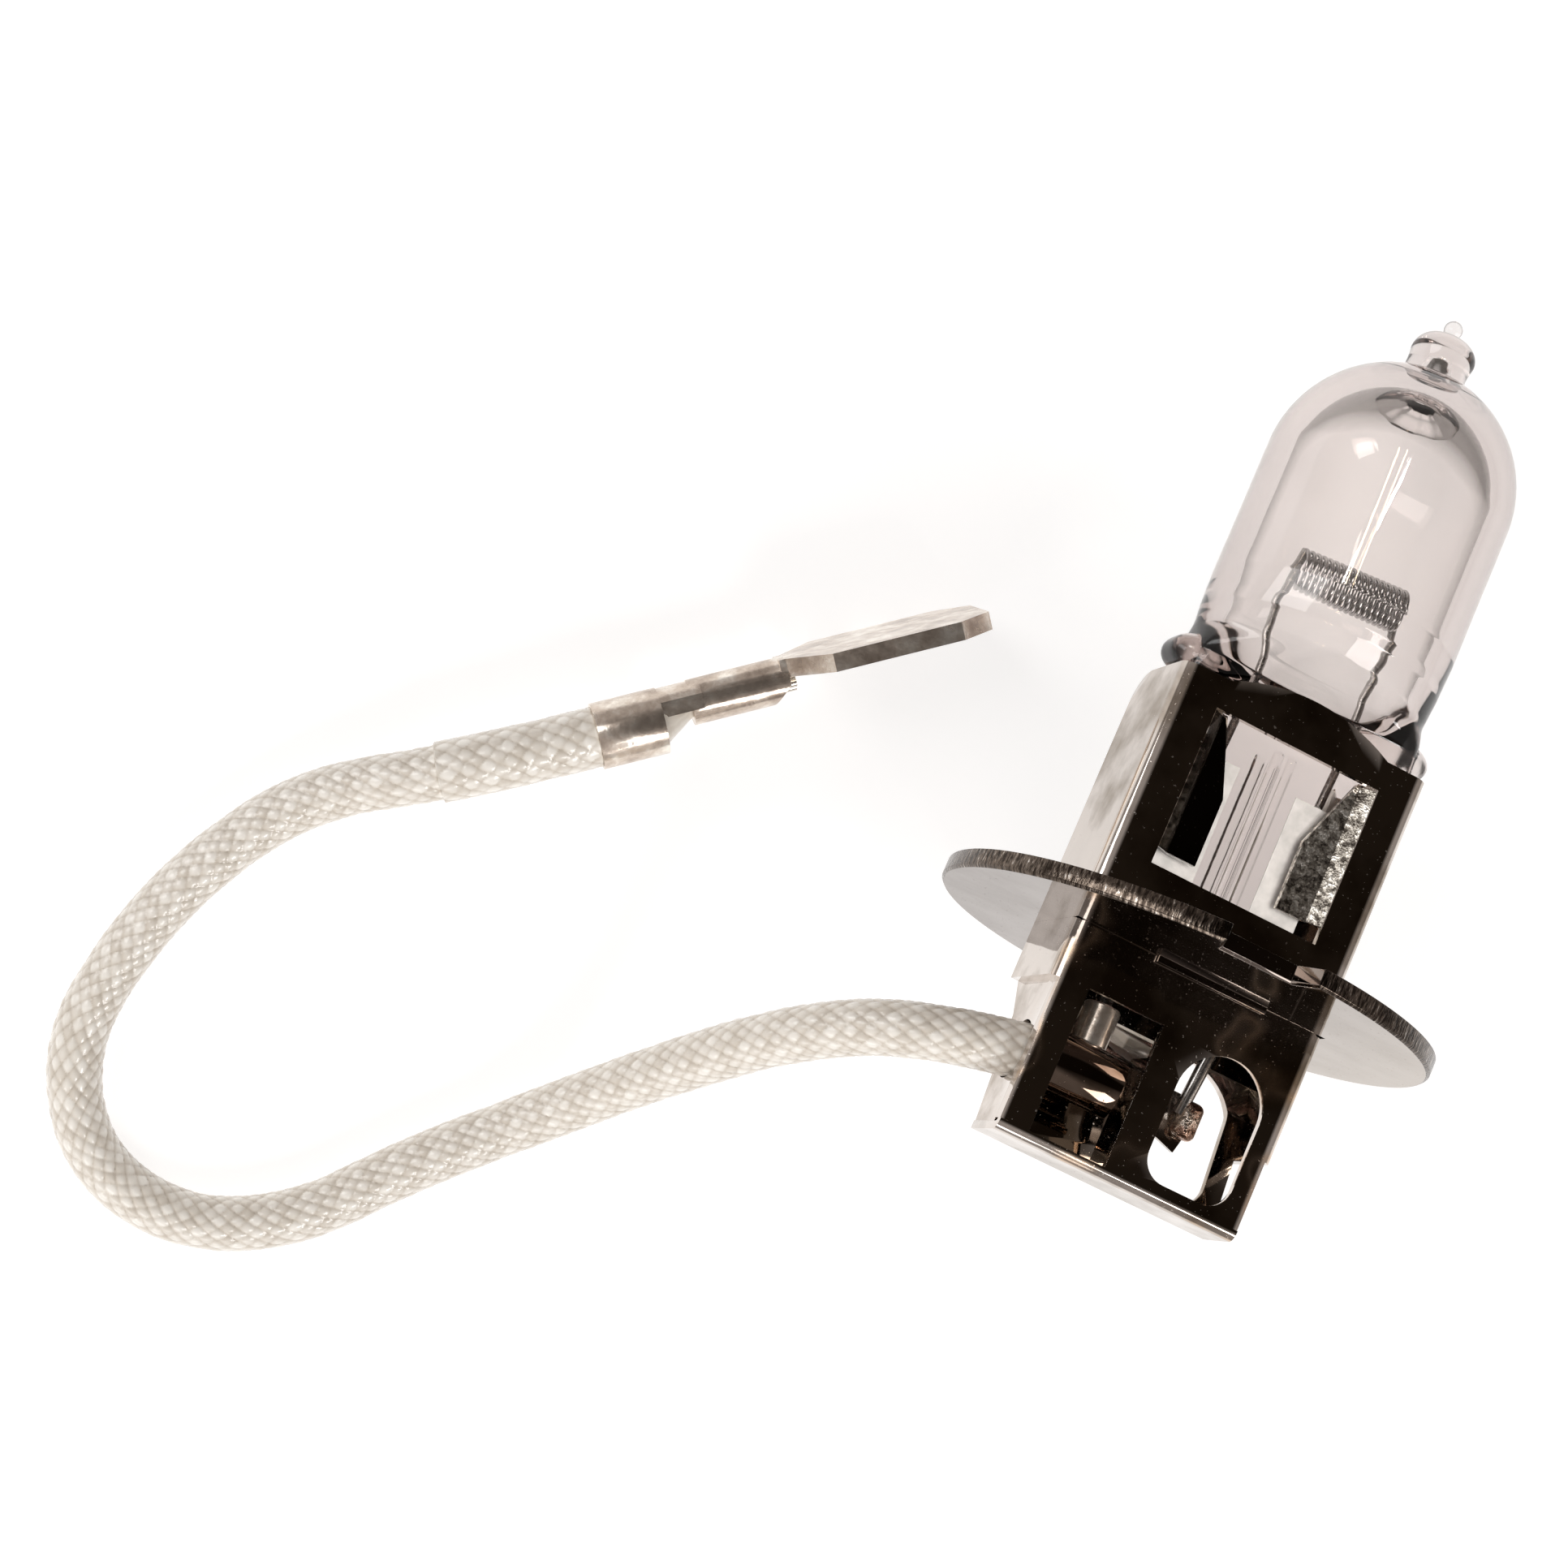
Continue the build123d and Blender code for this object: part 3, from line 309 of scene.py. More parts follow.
def outer_rings(angle):
    """Heights and polar radii of the outside, from the pinch's foot to the bead's top."""
    rings = [(PINCH_FOOT, oval(PINCH_W - 0.3, PINCH_D - 0.25, PINCH_SQUARENESS, angle))]
    pinch = np.linspace(PINCH_FOOT + 0.15, PINCH_TOP, 60)
    shoulder = np.linspace(PINCH_TOP + 0.05, TUBE_FROM, 150)
    for z in np.concatenate([pinch, shoulder]):
        depth = np.interp(z, SHOULDER_Z, SHOULDER_D)
        power = 2 + (PINCH_SQUARENESS - 2) * (1 - smooth(*ROUNDING_Z, z))
        radius = oval(PINCH_W + (GLASS_R - PINCH_W) * smooth(*WIDENING_Z, z), depth, power, angle)
        if LUG_Z - 0.8 < z < LUG_Z + 0.8:
            swell = np.sqrt(1 - ((z - LUG_Z) / LUG_HALF_H) ** 2)
            lug = oval(LUG_W + LUG_REACH * swell, PINCH_D * (0.6 + 0.38 * swell),
                       LUG_SQUARENESS, angle)
            radius = np.maximum(radius, lug)
        if PINCH_FOOT + 0.6 < z < PINCH_TOP:
            for x, rib in RIBS:
                for side in (-1, 1):
                    radius = np.maximum(radius, bead_line(x, side * (PINCH_D - 0.02), rib, angle))
        rings.append((z, radius))
    for z in np.linspace(TUBE_FROM + 0.1, DOME_Z, 50):
        rings.append((z, np.full_like(angle, GLASS_R)))
    top = np.arccos(NUB_R / GLASS_R)
    for t in np.linspace(0, top, 70)[1:]:
        rings.append((DOME_Z + GLASS_R * np.sin(t), np.full_like(angle, GLASS_R * np.cos(t))))
    foot = rings[-1][0]
    for z in np.linspace(foot, NUB_TOP - NUB_ROUND, 30)[1:]:
        waist = 1 - 0.05 * np.sin(np.pi * (z - foot) / (NUB_TOP - NUB_ROUND - foot))
        wave = NUB_WAVE * np.sin(3 * angle + NUB_TWIST * z) * np.minimum(1, (z - foot) * 2)
        rings.append((z, NUB_R * (waist + wave)))
    for t in np.linspace(0, np.pi / 2, 16)[1:]:
        wave = NUB_WAVE * np.sin(3 * angle + NUB_TWIST * 29.5) * np.cos(t)
        rings.append((NUB_TOP - NUB_ROUND + NUB_ROUND * np.sin(t),
                      NUB_R * (1 + wave) - NUB_ROUND * (1 - np.cos(t))))
    low = -np.arccos(BEAD_NECK_R / BEAD_R)
    for t in np.linspace(low, np.pi / 2, 24)[:-1]:
        rings.append((BEAD_Z + BEAD_R * np.sin(t), np.full_like(angle, BEAD_R * np.cos(t))))
    return rings


def gas_rings(angle):
    """Heights and polar radii of the gas space, from its floor to the closed bore's top."""
    rings = []
    for t in np.linspace(0, 1, 90)[1:]:
        z = GAS_FLOOR + (GAS_TUBE_FROM - GAS_FLOOR) * t**1.6
        width = GAS_R * (1 - (1 - min(1, t * 1.5)) ** 2.4)
        depth = np.interp(z, GAS_FLOOR_Z, GAS_FLOOR_D)
        rings.append((z, oval(max(width, 0.03), max(depth, 0.02), 2.2 - 0.2 * t, angle)))
    for z in np.linspace(GAS_TUBE_FROM + 0.2, DOME_Z, 40):
        rings.append((z, np.full_like(angle, GAS_R)))
    for t in np.linspace(0, np.arccos(LIP_R / GAS_R), 50)[1:]:
        rings.append((DOME_Z + GAS_R * np.sin(t), np.full_like(angle, GAS_R * np.cos(t))))
    foot = rings[-1][0]
    wave = 1 + 0.05 * np.sin(5 * angle) + 0.03 * np.sin(11 * angle + 1)
    for drop, radius in LIP_STEPS:
        rings.append((foot - drop, radius * (1 + (wave - 1) * 0.6)))
    for t in np.linspace(0, 1, 20):
        radius = BORE_R * (1 - 0.55 * t)
        rings.append((foot + BORE_FROM + BORE_LENGTH * t, radius * (1 + (wave - 1) * (1 - t))))
    rings.append((foot + BORE_FROM + BORE_LENGTH + 0.1, np.full_like(angle, BORE_TOP_R)))
    return rings


def skin(rings, angle, first, inward):
    """Vertices and faces of a closed skin through rings; vertex numbers start at first."""
    verts = []
    for z, radius in rings:
        for r, t in zip(radius, angle):
            verts.append(tuple(lamp(r * np.cos(t), r * np.sin(t), z)))
    count, around = len(rings), len(angle)
    i = np.arange(count - 1)[:, None] * around
    j = np.arange(around)[None, :]
    j2 = (j + 1) % around
    ahead = i + around
    quads = np.stack([i + j, i + j2, ahead + j2, ahead + j], axis=-1).reshape(-1, 4) + first
    quads = quads.tolist()
    quads.append([first + k for k in range(around)][::-1])
    quads.append([first + (count - 1) * around + k for k in range(around)])
    if inward:
        quads = [q[::-1] for q in quads]
    return verts, quads


turn = np.linspace(0, 2 * np.pi, AROUND, endpoint=False)
outside, outside_faces = skin(outer_rings(turn), turn, 0, False)
inside, inside_faces = skin(gas_rings(turn), turn, len(outside), True)
glass_mesh = bpy.data.meshes.new("quartz_capsule")
glass_mesh.from_pydata(outside + inside, [], outside_faces + inside_faces)
glass_mesh.polygons.foreach_set("use_smooth", [True] * len(glass_mesh.polygons))
gas_side = glass_mesh.attributes.new("gas_side", "FLOAT", "POINT")
gas_side.data.foreach_set("value", [0.0] * len(outside) + [1.0] * len(inside))
glass_mesh.update()
glass = bpy.data.objects.new("quartz_capsule", glass_mesh)
bpy.context.scene.collection.objects.link(glass)
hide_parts("glass_envelope")
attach(glass, "root")
glass.visible_shadow = False    # clear glass hardly shades the floor


# --- materials ------------------------------------------------------------------------
# Regions of the metal body and the glass, lamp frame, millimetres.
STAIN_TOP = -0.9                # tide marks are below the flange
STAIN_FRONT = -2.0              # and on the front plate
RIM_FROM = 10.86                # sheared edge of the flange
WINDOW_Z = (3.0, 9.7)           # upper window, with the tongues that grip the pinch
TONGUE_X = (1.8, 3.97)
WINDOW_HALF_W = 4.0
THICK_DOME_Z = 22.8             # the dome's edge is painted darker from here, where it is seen through more glass
# the painted dark outlines of the glass are stronger on the nub from NUB_FROM and on the tube from
# TUBE_TINT_FROM
NUB_FROM = 28.1
TUBE_TINT_FROM = 15.5
LUG_FROM_X = 4.4
LUG_TOP_Z = 13.4
NICKEL = (0.66, 0.6, 0.55)
NICKEL_DARK = (0.42, 0.3696, 0.3024)         # stained nickel as a share of its tint
NICKEL_BRIGHT = 1.08
SPECK_SCALE = 8000
SPECK_SHARE = 0.75
QUARTZ_GREY = (0.42, 0.27, 0.215)
QUARTZ_DENSITY = 215.0          # of absorption, per metre
QUARTZ_CLEAR = (0.97, 0.965, 0.96)
# colour of the painted dark outlines and patch on the glass
QUARTZ_DARK = (0.05, 0.047, 0.04)
FOOT_CENTRE = (0.4, 11.9)        # painted darker patch at the foot of the gas space, an ellipse in x, z
FOOT_SHRINK = (0.34, 0.37)      # one over its half axes


class Mat:
    """A node material, with short helpers for its nodes."""

    def __init__(self, name, **inputs):
        self.mat = bpy.data.materials.new(name)
        self.mat.use_nodes = True
        self.tree = self.mat.node_tree
        self.bsdf = self.tree.nodes["Principled BSDF"]
        self.coord = self.tree.nodes.new("ShaderNodeTexCoord")
        for key, value in inputs.items():
            self.bsdf.inputs[key.replace("_", " ")].default_value = value

    def node(self, kind, **props):
        n = self.tree.nodes.new(kind)
        for key, value in props.items():
            setattr(n, key, value)
        return n

    def link(self, a, b):
        self.tree.links.new(a, b)

    def math(self, op, a, b=None, c=None, clamp=False):
        """A Math node's result; each of a, b, c is a socket or a number."""
        n = self.node("ShaderNodeMath", operation=op, use_clamp=clamp)
        for socket, value in zip(n.inputs, (a, b, c)):
            if value is None:
                continue
            if isinstance(value, (int, float)):
                socket.default_value = value
            else:
                self.link(value, socket)
        return n.outputs[0]

    def ramp(self, fac, stops):
        """A colour ramp through (position, colour) stops."""
        n = self.node("ShaderNodeValToRGB")
        el = n.color_ramp.elements
        while len(el) < len(stops):
            el.new(0.5)
        for e, (pos, col) in zip(el, stops):
            e.position = pos
            e.color = (*col, 1)
        self.link(fac, n.inputs["Fac"])
        return n.outputs["Color"]

    def mix(self, fac, a, b):
        """Colour a towards colour b; each is a socket or three numbers."""
        n = self.node("ShaderNodeMix", data_type="RGBA")
        for socket, value in ((n.inputs[0], fac), (n.inputs[6], a), (n.inputs[7], b)):
            if isinstance(value, tuple):
                socket.default_value = (*value, 1)
            elif isinstance(value, (int, float)):
                socket.default_value = value
            else:
                self.link(value, socket)
        return n.outputs[2]

    def scaled(self, scale):
        """Object coordinates times scale, which is a number or three."""
        n = self.node("ShaderNodeVectorMath", operation="MULTIPLY")
        self.link(self.coord.outputs["Object"], n.inputs[0])
        n.inputs[1].default_value = scale if isinstance(scale, tuple) else (scale,) * 3
        return n.outputs[0]

    def along(self, axis):
        """Millimetres along a lamp-frame axis from the lamp frame's origin."""
        n = self.node("ShaderNodeVectorMath", operation="DOT_PRODUCT")
        self.link(self.coord.outputs["Object"], n.inputs[0])
        n.inputs[1].default_value = axis * PER_METRE
        return self.math("SUBTRACT", n.outputs["Value"], axis.dot(LAMP_O) * PER_METRE)

    def noise(self, scale, detail, rough, vector=None):
        n = self.node("ShaderNodeTexNoise")
        n.inputs["Scale"].default_value = scale
        n.inputs["Detail"].default_value = detail
        n.inputs["Roughness"].default_value = rough
        self.link(vector or self.coord.outputs["Object"], n.inputs["Vector"])
        return n.outputs["Fac"]

    def bump(self, height, strength, distance):
        """Bump the surface by height, a socket; distance is in metres."""
        n = self.node("ShaderNodeBump")
        n.inputs["Strength"].default_value = strength
        n.inputs["Distance"].default_value = distance
        self.link(height, n.inputs["Height"])
        self.link(n.outputs["Normal"], self.bsdf.inputs["Normal"])


def nickel(name, tint=NICKEL, rim=False, tongue=False, matt_back=False):
    """Bright nickel plate: a mirror with fine drawn lines, specks and faint brown stains.

    rim adds the flange's sheared edge, painted near black with painted glints, and painted shade that
    darkens the whole flange towards -x;
    tongue adds the pitted tongues in the window, the left one painted near black for the dark that it
    mirrors and the right one with painted pit shade and glitter;
    and matt_back the dull patch behind the pinch.
    """
    m = Mat(name, Metallic=1.0, Roughness=0.07)
    stain = m.noise(220, 4, 0.55)
    dark = tuple(c * k for c, k in zip(tint, NICKEL_DARK))
    bright = tuple(min(1, c * NICKEL_BRIGHT) for c in tint)
    base = m.ramp(stain, [(0.38, dark), (0.55, tint), (0.75, bright)])
    lines = m.noise(1.0, 2, 0.6, vector=m.scaled((2600, 260, 2600)))
    specks = m.noise(SPECK_SCALE, 1, 0.3)
    tide = m.math("ABSOLUTE", m.math("SUBTRACT", m.noise(170, 2, 0.5), 0.52))
    tide = m.math("SUBTRACT", 1.0, m.math("MULTIPLY", tide, 22.0), clamp=True)
    tide = m.math("MULTIPLY", tide, m.math("LESS_THAN", m.along(LAMP_Z), STAIN_TOP))
    tide = m.math("MULTIPLY", tide, m.math("LESS_THAN", m.along(LAMP_Y), STAIN_FRONT))
    rough = m.math("MULTIPLY_ADD", lines, 0.05, 0.03)
    specks = m.math("GREATER_THAN", specks, SPECK_SHARE)
    rough = m.math("ADD", rough, m.math("MULTIPLY", specks, 0.3))
    rough = m.math("ADD", rough, m.math("MULTIPLY", tide, 0.16))
    base = m.mix(m.math("MULTIPLY", tide, 0.5), base, (0.75, 0.5, 0.3))
    height = m.math("ADD", m.noise(420, 2, 0.5), m.math("MULTIPLY", lines, 0.05))
    if rim:
        x, y = m.along(LAMP_X), m.along(LAMP_Y)
        radius = m.math("ADD", m.math("MULTIPLY", x, x), m.math("MULTIPLY", y, y))
        on_rim = m.math("GREATER_THAN", m.math("SQRT", radius), RIM_FROM)
        angle = m.math("ARCTAN2", y, x)
        comb = m.node("ShaderNodeCombineXYZ")
        m.link(m.math("MULTIPLY", angle, 42.0), comb.inputs[0])
        m.link(m.math("MULTIPLY", m.along(LAMP_Z), 0.9), comb.inputs[1])
        shear = m.noise(1.6, 3, 0.7, vector=comb.outputs[0])
        # painted shade: the whole flange's colour darkens towards -x, standing for the shaded floor that
        # it mirrors on that side
        side = m.math("MULTIPLY_ADD", x, 0.05, 0.5)
        back = m.ramp(side, [(0.0, (0.11, 0.085, 0.075)), (0.45, (0.17, 0.135, 0.12)),
                             (1.0, (0.4, 0.34, 0.28))])
        base = m.mix(0.85, base, back)
        # painted reflection: the rim is painted near black for the dark room that it mirrors, with
        # painted bright specks for its glints
        sheared_painted_dark = m.ramp(shear, [(0.42, (0.035, 0.026, 0.02)), (0.6, (0.2, 0.16, 0.13)),
                                 (0.74, (1.0, 0.95, 0.88))])
        base = m.mix(on_rim, base, sheared_painted_dark)
        rough = m.math("ADD", rough, m.math("MULTIPLY", on_rim, 0.12))
        height = m.math("ADD", height, m.math("MULTIPLY", m.math("MULTIPLY", shear, on_rim), 3.0))
    if tongue or matt_back:
        x, z = m.along(LAMP_X), m.along(LAMP_Z)
        inside = m.math("MULTIPLY", m.math("GREATER_THAN", z, WINDOW_Z[0]),
                        m.math("LESS_THAN", z, WINDOW_Z[1]))
        if tongue:
            flank = m.math("MULTIPLY", m.math("GREATER_THAN", m.math("ABSOLUTE", x), TONGUE_X[0]),
                           m.math("LESS_THAN", m.math("ABSOLUTE", x), TONGUE_X[1]))
            inside = m.math("MULTIPLY", inside, flank)
            # painted reflection: the left tongue is painted near black for the dark surroundings that its
            # slope mirrors
            left = m.math("MULTIPLY", inside, m.math("LESS_THAN", x, 0.0))
            inside = m.math("MULTIPLY", inside, m.math("GREATER_THAN", x, 0.0))
            pits_and_glitter = m.noise(2600, 3, 0.7)
            base = m.mix(m.math("MULTIPLY", left, 0.92), base, (0.02, 0.015, 0.01))
            # painted shade and highlights: the right tongue's pits are painted dark and its raised grain
            # painted bright as glitter
            painted_glitter = m.ramp(pits_and_glitter, [(0.38, (0.05, 0.04, 0.03)), (0.52, (0.5, 0.46, 0.4)),
                                    (0.62, (1.0, 0.97, 0.9))])
            base = m.mix(m.math("MULTIPLY", inside, 0.92), base, painted_glitter)
            rough = m.math("ADD", rough, m.math("MULTIPLY", inside, 0.25))
            pits_and_glitter = m.math("MULTIPLY", pits_and_glitter, inside)
            height = m.math("ADD", height, m.math("MULTIPLY", pits_and_glitter, 16.0))
        else:
            across = m.math("LESS_THAN", m.math("ABSOLUTE", x), WINDOW_HALF_W)
            inside = m.math("MULTIPLY", inside, across)
            base = m.mix(inside, base, (0.72, 0.71, 0.66))
            metal = m.math("SUBTRACT", 1.0, m.math("MULTIPLY", inside, 0.85))
            m.link(metal, m.bsdf.inputs["Metallic"])
            rough = m.math("ADD", rough, m.math("MULTIPLY", inside, 0.4))
    m.link(base, m.bsdf.inputs["Base Color"])
    m.link(rough, m.bsdf.inputs["Roughness"])
    m.bump(height, 0.35, 0.00003)
    return m.mat


def quartz():
    """Clear quartz, greyer where it is thick, with painted dark lines where its skins turn away and a
    painted darker dome edge, bead and foot patch.
    """
    m = Mat("quartz", Metallic=0.0, Roughness=0.0, IOR=1.46)
    m.bsdf.inputs["Transmission Weight"].default_value = 1.0
    grey = m.node("ShaderNodeVolumeAbsorption")
    grey.inputs["Color"].default_value = (*QUARTZ_GREY, 1)
    grey.inputs["Density"].default_value = QUARTZ_DENSITY
    m.link(grey.outputs["Volume"], m.tree.nodes["Material Output"].inputs["Volume"])
    x, z = m.along(LAMP_X), m.along(LAMP_Z)
    on_gas = m.node("ShaderNodeAttribute", attribute_name="gas_side").outputs["Fac"]
    # painted shade: the base colour darkens towards QUARTZ_DARK where the skins turn away from the
    # camera, more on the gas side, at the dome's edge, round the bead, on the tube and on the nub
    weight = m.node("ShaderNodeLayerWeight")
    weight.inputs["Blend"].default_value = 0.5
    dome = m.math("MULTIPLY", m.math("SUBTRACT", z, THICK_DOME_Z), 0.125, clamp=True)
    bead = m.math("MULTIPLY", m.math("GREATER_THAN", z, NUB_TOP), 0.22)
    turned = m.math("ADD", weight.outputs["Facing"], m.math("MULTIPLY", dome, on_gas))
    turned = m.math("ADD", turned, bead)
    dark = m.ramp(turned, [(0.58, (0, 0, 0)), (0.84, (1, 1, 1))])
    tube = m.math("MULTIPLY", m.math("GREATER_THAN", z, TUBE_TINT_FROM), 0.25)
    nub = m.math("MULTIPLY", m.math("GREATER_THAN", z, NUB_FROM), 0.45)
    share = m.math("ADD", m.math("MULTIPLY_ADD", on_gas, 0.62, 0.03), m.math("ADD", tube, nub))
    dark = m.math("MULTIPLY", dark, m.math("MINIMUM", share, 0.92))
    # painted shade: a darker patch at the foot of the gas space
    u = m.math("MULTIPLY", m.math("SUBTRACT", x, FOOT_CENTRE[0]), FOOT_SHRINK[0])
    v = m.math("MULTIPLY", m.math("SUBTRACT", z, FOOT_CENTRE[1]), FOOT_SHRINK[1])
    foot = m.math("SQRT", m.math("ADD", m.math("MULTIPLY", u, u), m.math("MULTIPLY", v, v)))
    foot = m.math("MULTIPLY", m.math("SUBTRACT", 1.0, foot), 7.0, clamp=True)
    dark = m.math("MAXIMUM", dark, m.math("MULTIPLY", foot, m.math("MULTIPLY", on_gas, 0.16)))
    m.link(m.mix(dark, QUARTZ_CLEAR, QUARTZ_DARK), m.bsdf.inputs["Base Color"])
    ripple = m.noise(160, 2, 0.5)
    smear = m.noise(600, 3, 0.6)
    smear = m.math("MULTIPLY", m.math("LESS_THAN", z, PINCH_TOP), smear)
    lug = m.math("MULTIPLY", m.math("GREATER_THAN", m.math("ABSOLUTE", x), LUG_FROM_X),
                 m.math("LESS_THAN", z, LUG_TOP_Z))
    haze = m.math("MAXIMUM", m.math("MULTIPLY", smear, 0.12), m.math("MULTIPLY", lug, 0.16))
    m.link(haze, m.bsdf.inputs["Roughness"])
    m.bump(m.math("ADD", ripple, m.math("MULTIPLY", smear, 0.8)), 0.3, 0.00006)
    return m.mat


def drawn_wire(name, color, rough=0.3, grain=4000.0, relief=0.3, metal=1.0):
    """Drawn metal with a fine grain."""
    m = Mat(name, Metallic=metal)
    tone = m.noise(grain * 0.3, 3, 0.6)
    base = m.ramp(tone, [(0.3, tuple(c * 0.7 for c in color)), (0.7, color)])
    m.link(base, m.bsdf.inputs["Base Color"])
    m.link(m.math("MULTIPLY_ADD", m.noise(grain, 2, 0.5), 0.2, rough - 0.1), m.bsdf.inputs["Roughness"])
    m.bump(m.noise(grain, 2, 0.5), relief, 0.00001)
    return m.mat


def weld():
    """A lumpy brown weld nugget."""
    m = Mat("weld_bead", Metallic=1.0)
    lump = m.noise(1100, 4, 0.6)
    base = m.ramp(lump, [(0.35, (0.1, 0.05, 0.03)), (0.48, (0.5, 0.32, 0.24)), (0.6, (0.95, 0.85, 0.75))])
    m.link(base, m.bsdf.inputs["Base Color"])
    m.link(m.math("MULTIPLY_ADD", lump, 0.2, 0.12), m.bsdf.inputs["Roughness"])
    m.bump(lump, 1.0, 0.0003)
    return m.mat


def tin(name="tinned_terminal"):
    """Bright tin over brass: soft mirror, mottled, with rub marks."""
    m = Mat(name, Metallic=0.82)
    cloud = m.noise(700, 4, 0.65)
    base = m.ramp(cloud, [(0.3, (0.42, 0.34, 0.28)), (0.5, (0.7, 0.6, 0.51)), (0.66, (0.97, 0.91, 0.82))])
    m.link(base, m.bsdf.inputs["Base Color"])
    rub = m.noise(1.0, 3, 0.6, vector=m.scaled((900, 2600, 2600)))
    m.link(m.math("MULTIPLY_ADD", rub, 0.2, 0.14), m.bsdf.inputs["Roughness"])
    m.bump(m.math("ADD", cloud, m.math("MULTIPLY", rub, 0.2)), 0.4, 0.00006)
    return m.mat


def braid(name, attributes=True):
    """White glass-fibre yarn: pearly, with a painted shadow in the gaps, painted highlights on the crowns
    and on the first family of yarns, and fine fibres.

    Without the braided tubes' attributes, noise stands for them.
    """
    m = Mat(name, Roughness=0.42, IOR=1.5)
    m.bsdf.inputs["Sheen Weight"].default_value = 0.25
    m.bsdf.inputs["Sheen Roughness"].default_value = 0.4
    m.bsdf.inputs["Coat Weight"].default_value = 0.8
    m.bsdf.inputs["Coat Roughness"].default_value = 0.16
    if attributes:
        crown, strand, family = (m.node("ShaderNodeAttribute", attribute_name=label).outputs["Fac"]
                                 for label in ("crown", "strand", "family"))
    else:
        crown = m.noise(1300, 2, 0.5)
        strand = m.noise(700, 1, 0.5)
        family = m.noise(900, 1, 0.5)
    soil = m.noise(300, 3, 0.6)
    # painted shade and highlights: the gaps are darker, the crowns lighter, and the first family of yarns
    # lighter where it lies on top
    level = m.math("ADD", m.math("MULTIPLY", crown, 0.42), m.math("MULTIPLY", strand, 0.24))
    level = m.math("ADD", level, m.math("MULTIPLY", family, 0.2))
    level = m.math("ADD", level, m.math("MULTIPLY", soil, 0.12))
    base = m.ramp(level, [(0.1, (0.5, 0.43, 0.345)), (0.4, (0.72, 0.655, 0.565)),
                          (0.78, (0.97, 0.93, 0.855))])
    m.link(base, m.bsdf.inputs["Base Color"])
    fibres = m.noise(9000, 2, 0.6)
    m.bump(fibres, 0.25, 0.00002)
    return m.mat


looks = {
    "flange_disc": nickel("nickel_flange", rim=True),
    "front_shell": nickel("nickel_front", tongue=True),
    "rear_shell": nickel("nickel_rear", matt_back=True),
    "filament_coil": drawn_wire("tungsten", (0.66, 0.65, 0.64), 0.18, 1500.0, 0.04),
    "foil_left": drawn_wire("molybdenum", (0.56, 0.55, 0.52), 0.5, metal=0.25),
    "earth_weld": weld(),
    "splice_ferrule": tin("tinned_ferrule"),
    # the clamp band is tinted dark brown, partly for its oxide and partly as painted shade that darkens
    # the bright floor it mirrors
    "cable_clamp": nickel("clamp_band", tint=(0.2, 0.15, 0.12)),
    "earth_tab": nickel("nickel_tab"),
    "cable_conductor": drawn_wire("bare_core", (0.8, 0.74, 0.66), 0.3, 2500),
    "blade_terminal": tin(),
    "braid_end": braid("braid_short", attributes=False),
    "lead_sleeve": braid("sleeving", attributes=False),
}
wire = drawn_wire("lead_wire", (0.62, 0.6, 0.58), 0.25)
for node in ("inner_lead_left", "inner_lead_right", "outer_lead_live", "outer_lead_earth"):
    looks[node] = wire
looks["foil_right"] = looks["foil_left"]
looks["conductor_strands"] = looks["cable_conductor"]
for node, material in looks.items():
    data = nodes[node].data
    data.materials.clear()
    data.materials.append(material)
glass.data.materials.append(quartz())
fibre = braid("glass_braid")
for piece in (cord, sleeve):
    piece.data.materials.append(fibre)

# --- edges ----------------------------------------------------------------------------
# Pressed and cut edges are slightly broken, by these widths.
EDGE_BREAKS = {
    "flange_disc": 0.00005,
    "front_shell": 0.00005,
    "rear_shell": 0.00005,
    "blade_terminal": 0.00006,
    "earth_tab": 0.00003,
    "cable_clamp": 0.00004,
}
JOIN_WITHIN = 1e-6
BREAK_OVER = 0.7                # radians; sharper edges are broken
CREASE_OVER = 0.5               # radians; sharper edges stay creased
for node, obj in nodes.items():
    obj.data.polygons.foreach_set("use_smooth", [True] * len(obj.data.polygons))
    join = obj.modifiers.new("join", "WELD")
    join.merge_threshold = JOIN_WITHIN
    if node in EDGE_BREAKS:
        edge = obj.modifiers.new("broken_edges", "BEVEL")
        edge.width = EDGE_BREAKS[node]
        edge.segments = 2
        edge.limit_method = "ANGLE"
        edge.angle_limit = BREAK_OVER
        edge.use_clamp_overlap = True
    split = obj.modifiers.new("creases", "EDGE_SPLIT")
    split.split_angle = CREASE_OVER
    split.use_edge_sharp = False
    flat = obj.modifiers.new("even_shading", "WEIGHTED_NORMAL")
    flat.keep_sharp = True

# --- floor and light ------------------------------------------------------------------
FLOOR_HALF = 1.5
FLOOR_Z = -0.00002
FLOOR_COLOR = (0.4, 0.395, 0.39)
FLOOR_GLOW = (1, 0.99, 0.985)
GLOW_CENTRE = (-0.015, -0.010, 0)
GLOW_REACH = (0.062, 0.12)                   # it fades between these distances
GLOW_STRENGTH = (0.78, 0.1)
DARK_SKY = (0.2, 0.38, 0.9)                  # what the front plate mirrors to the camera
SKY_GREY = (0.36, 0.33, 0.315)
SKY_DARK = (0.014, 0.010, 0.007)
SKY_FROM = 0.72
SKY_TO = 0.93
GLINT_AWAY = 0.25

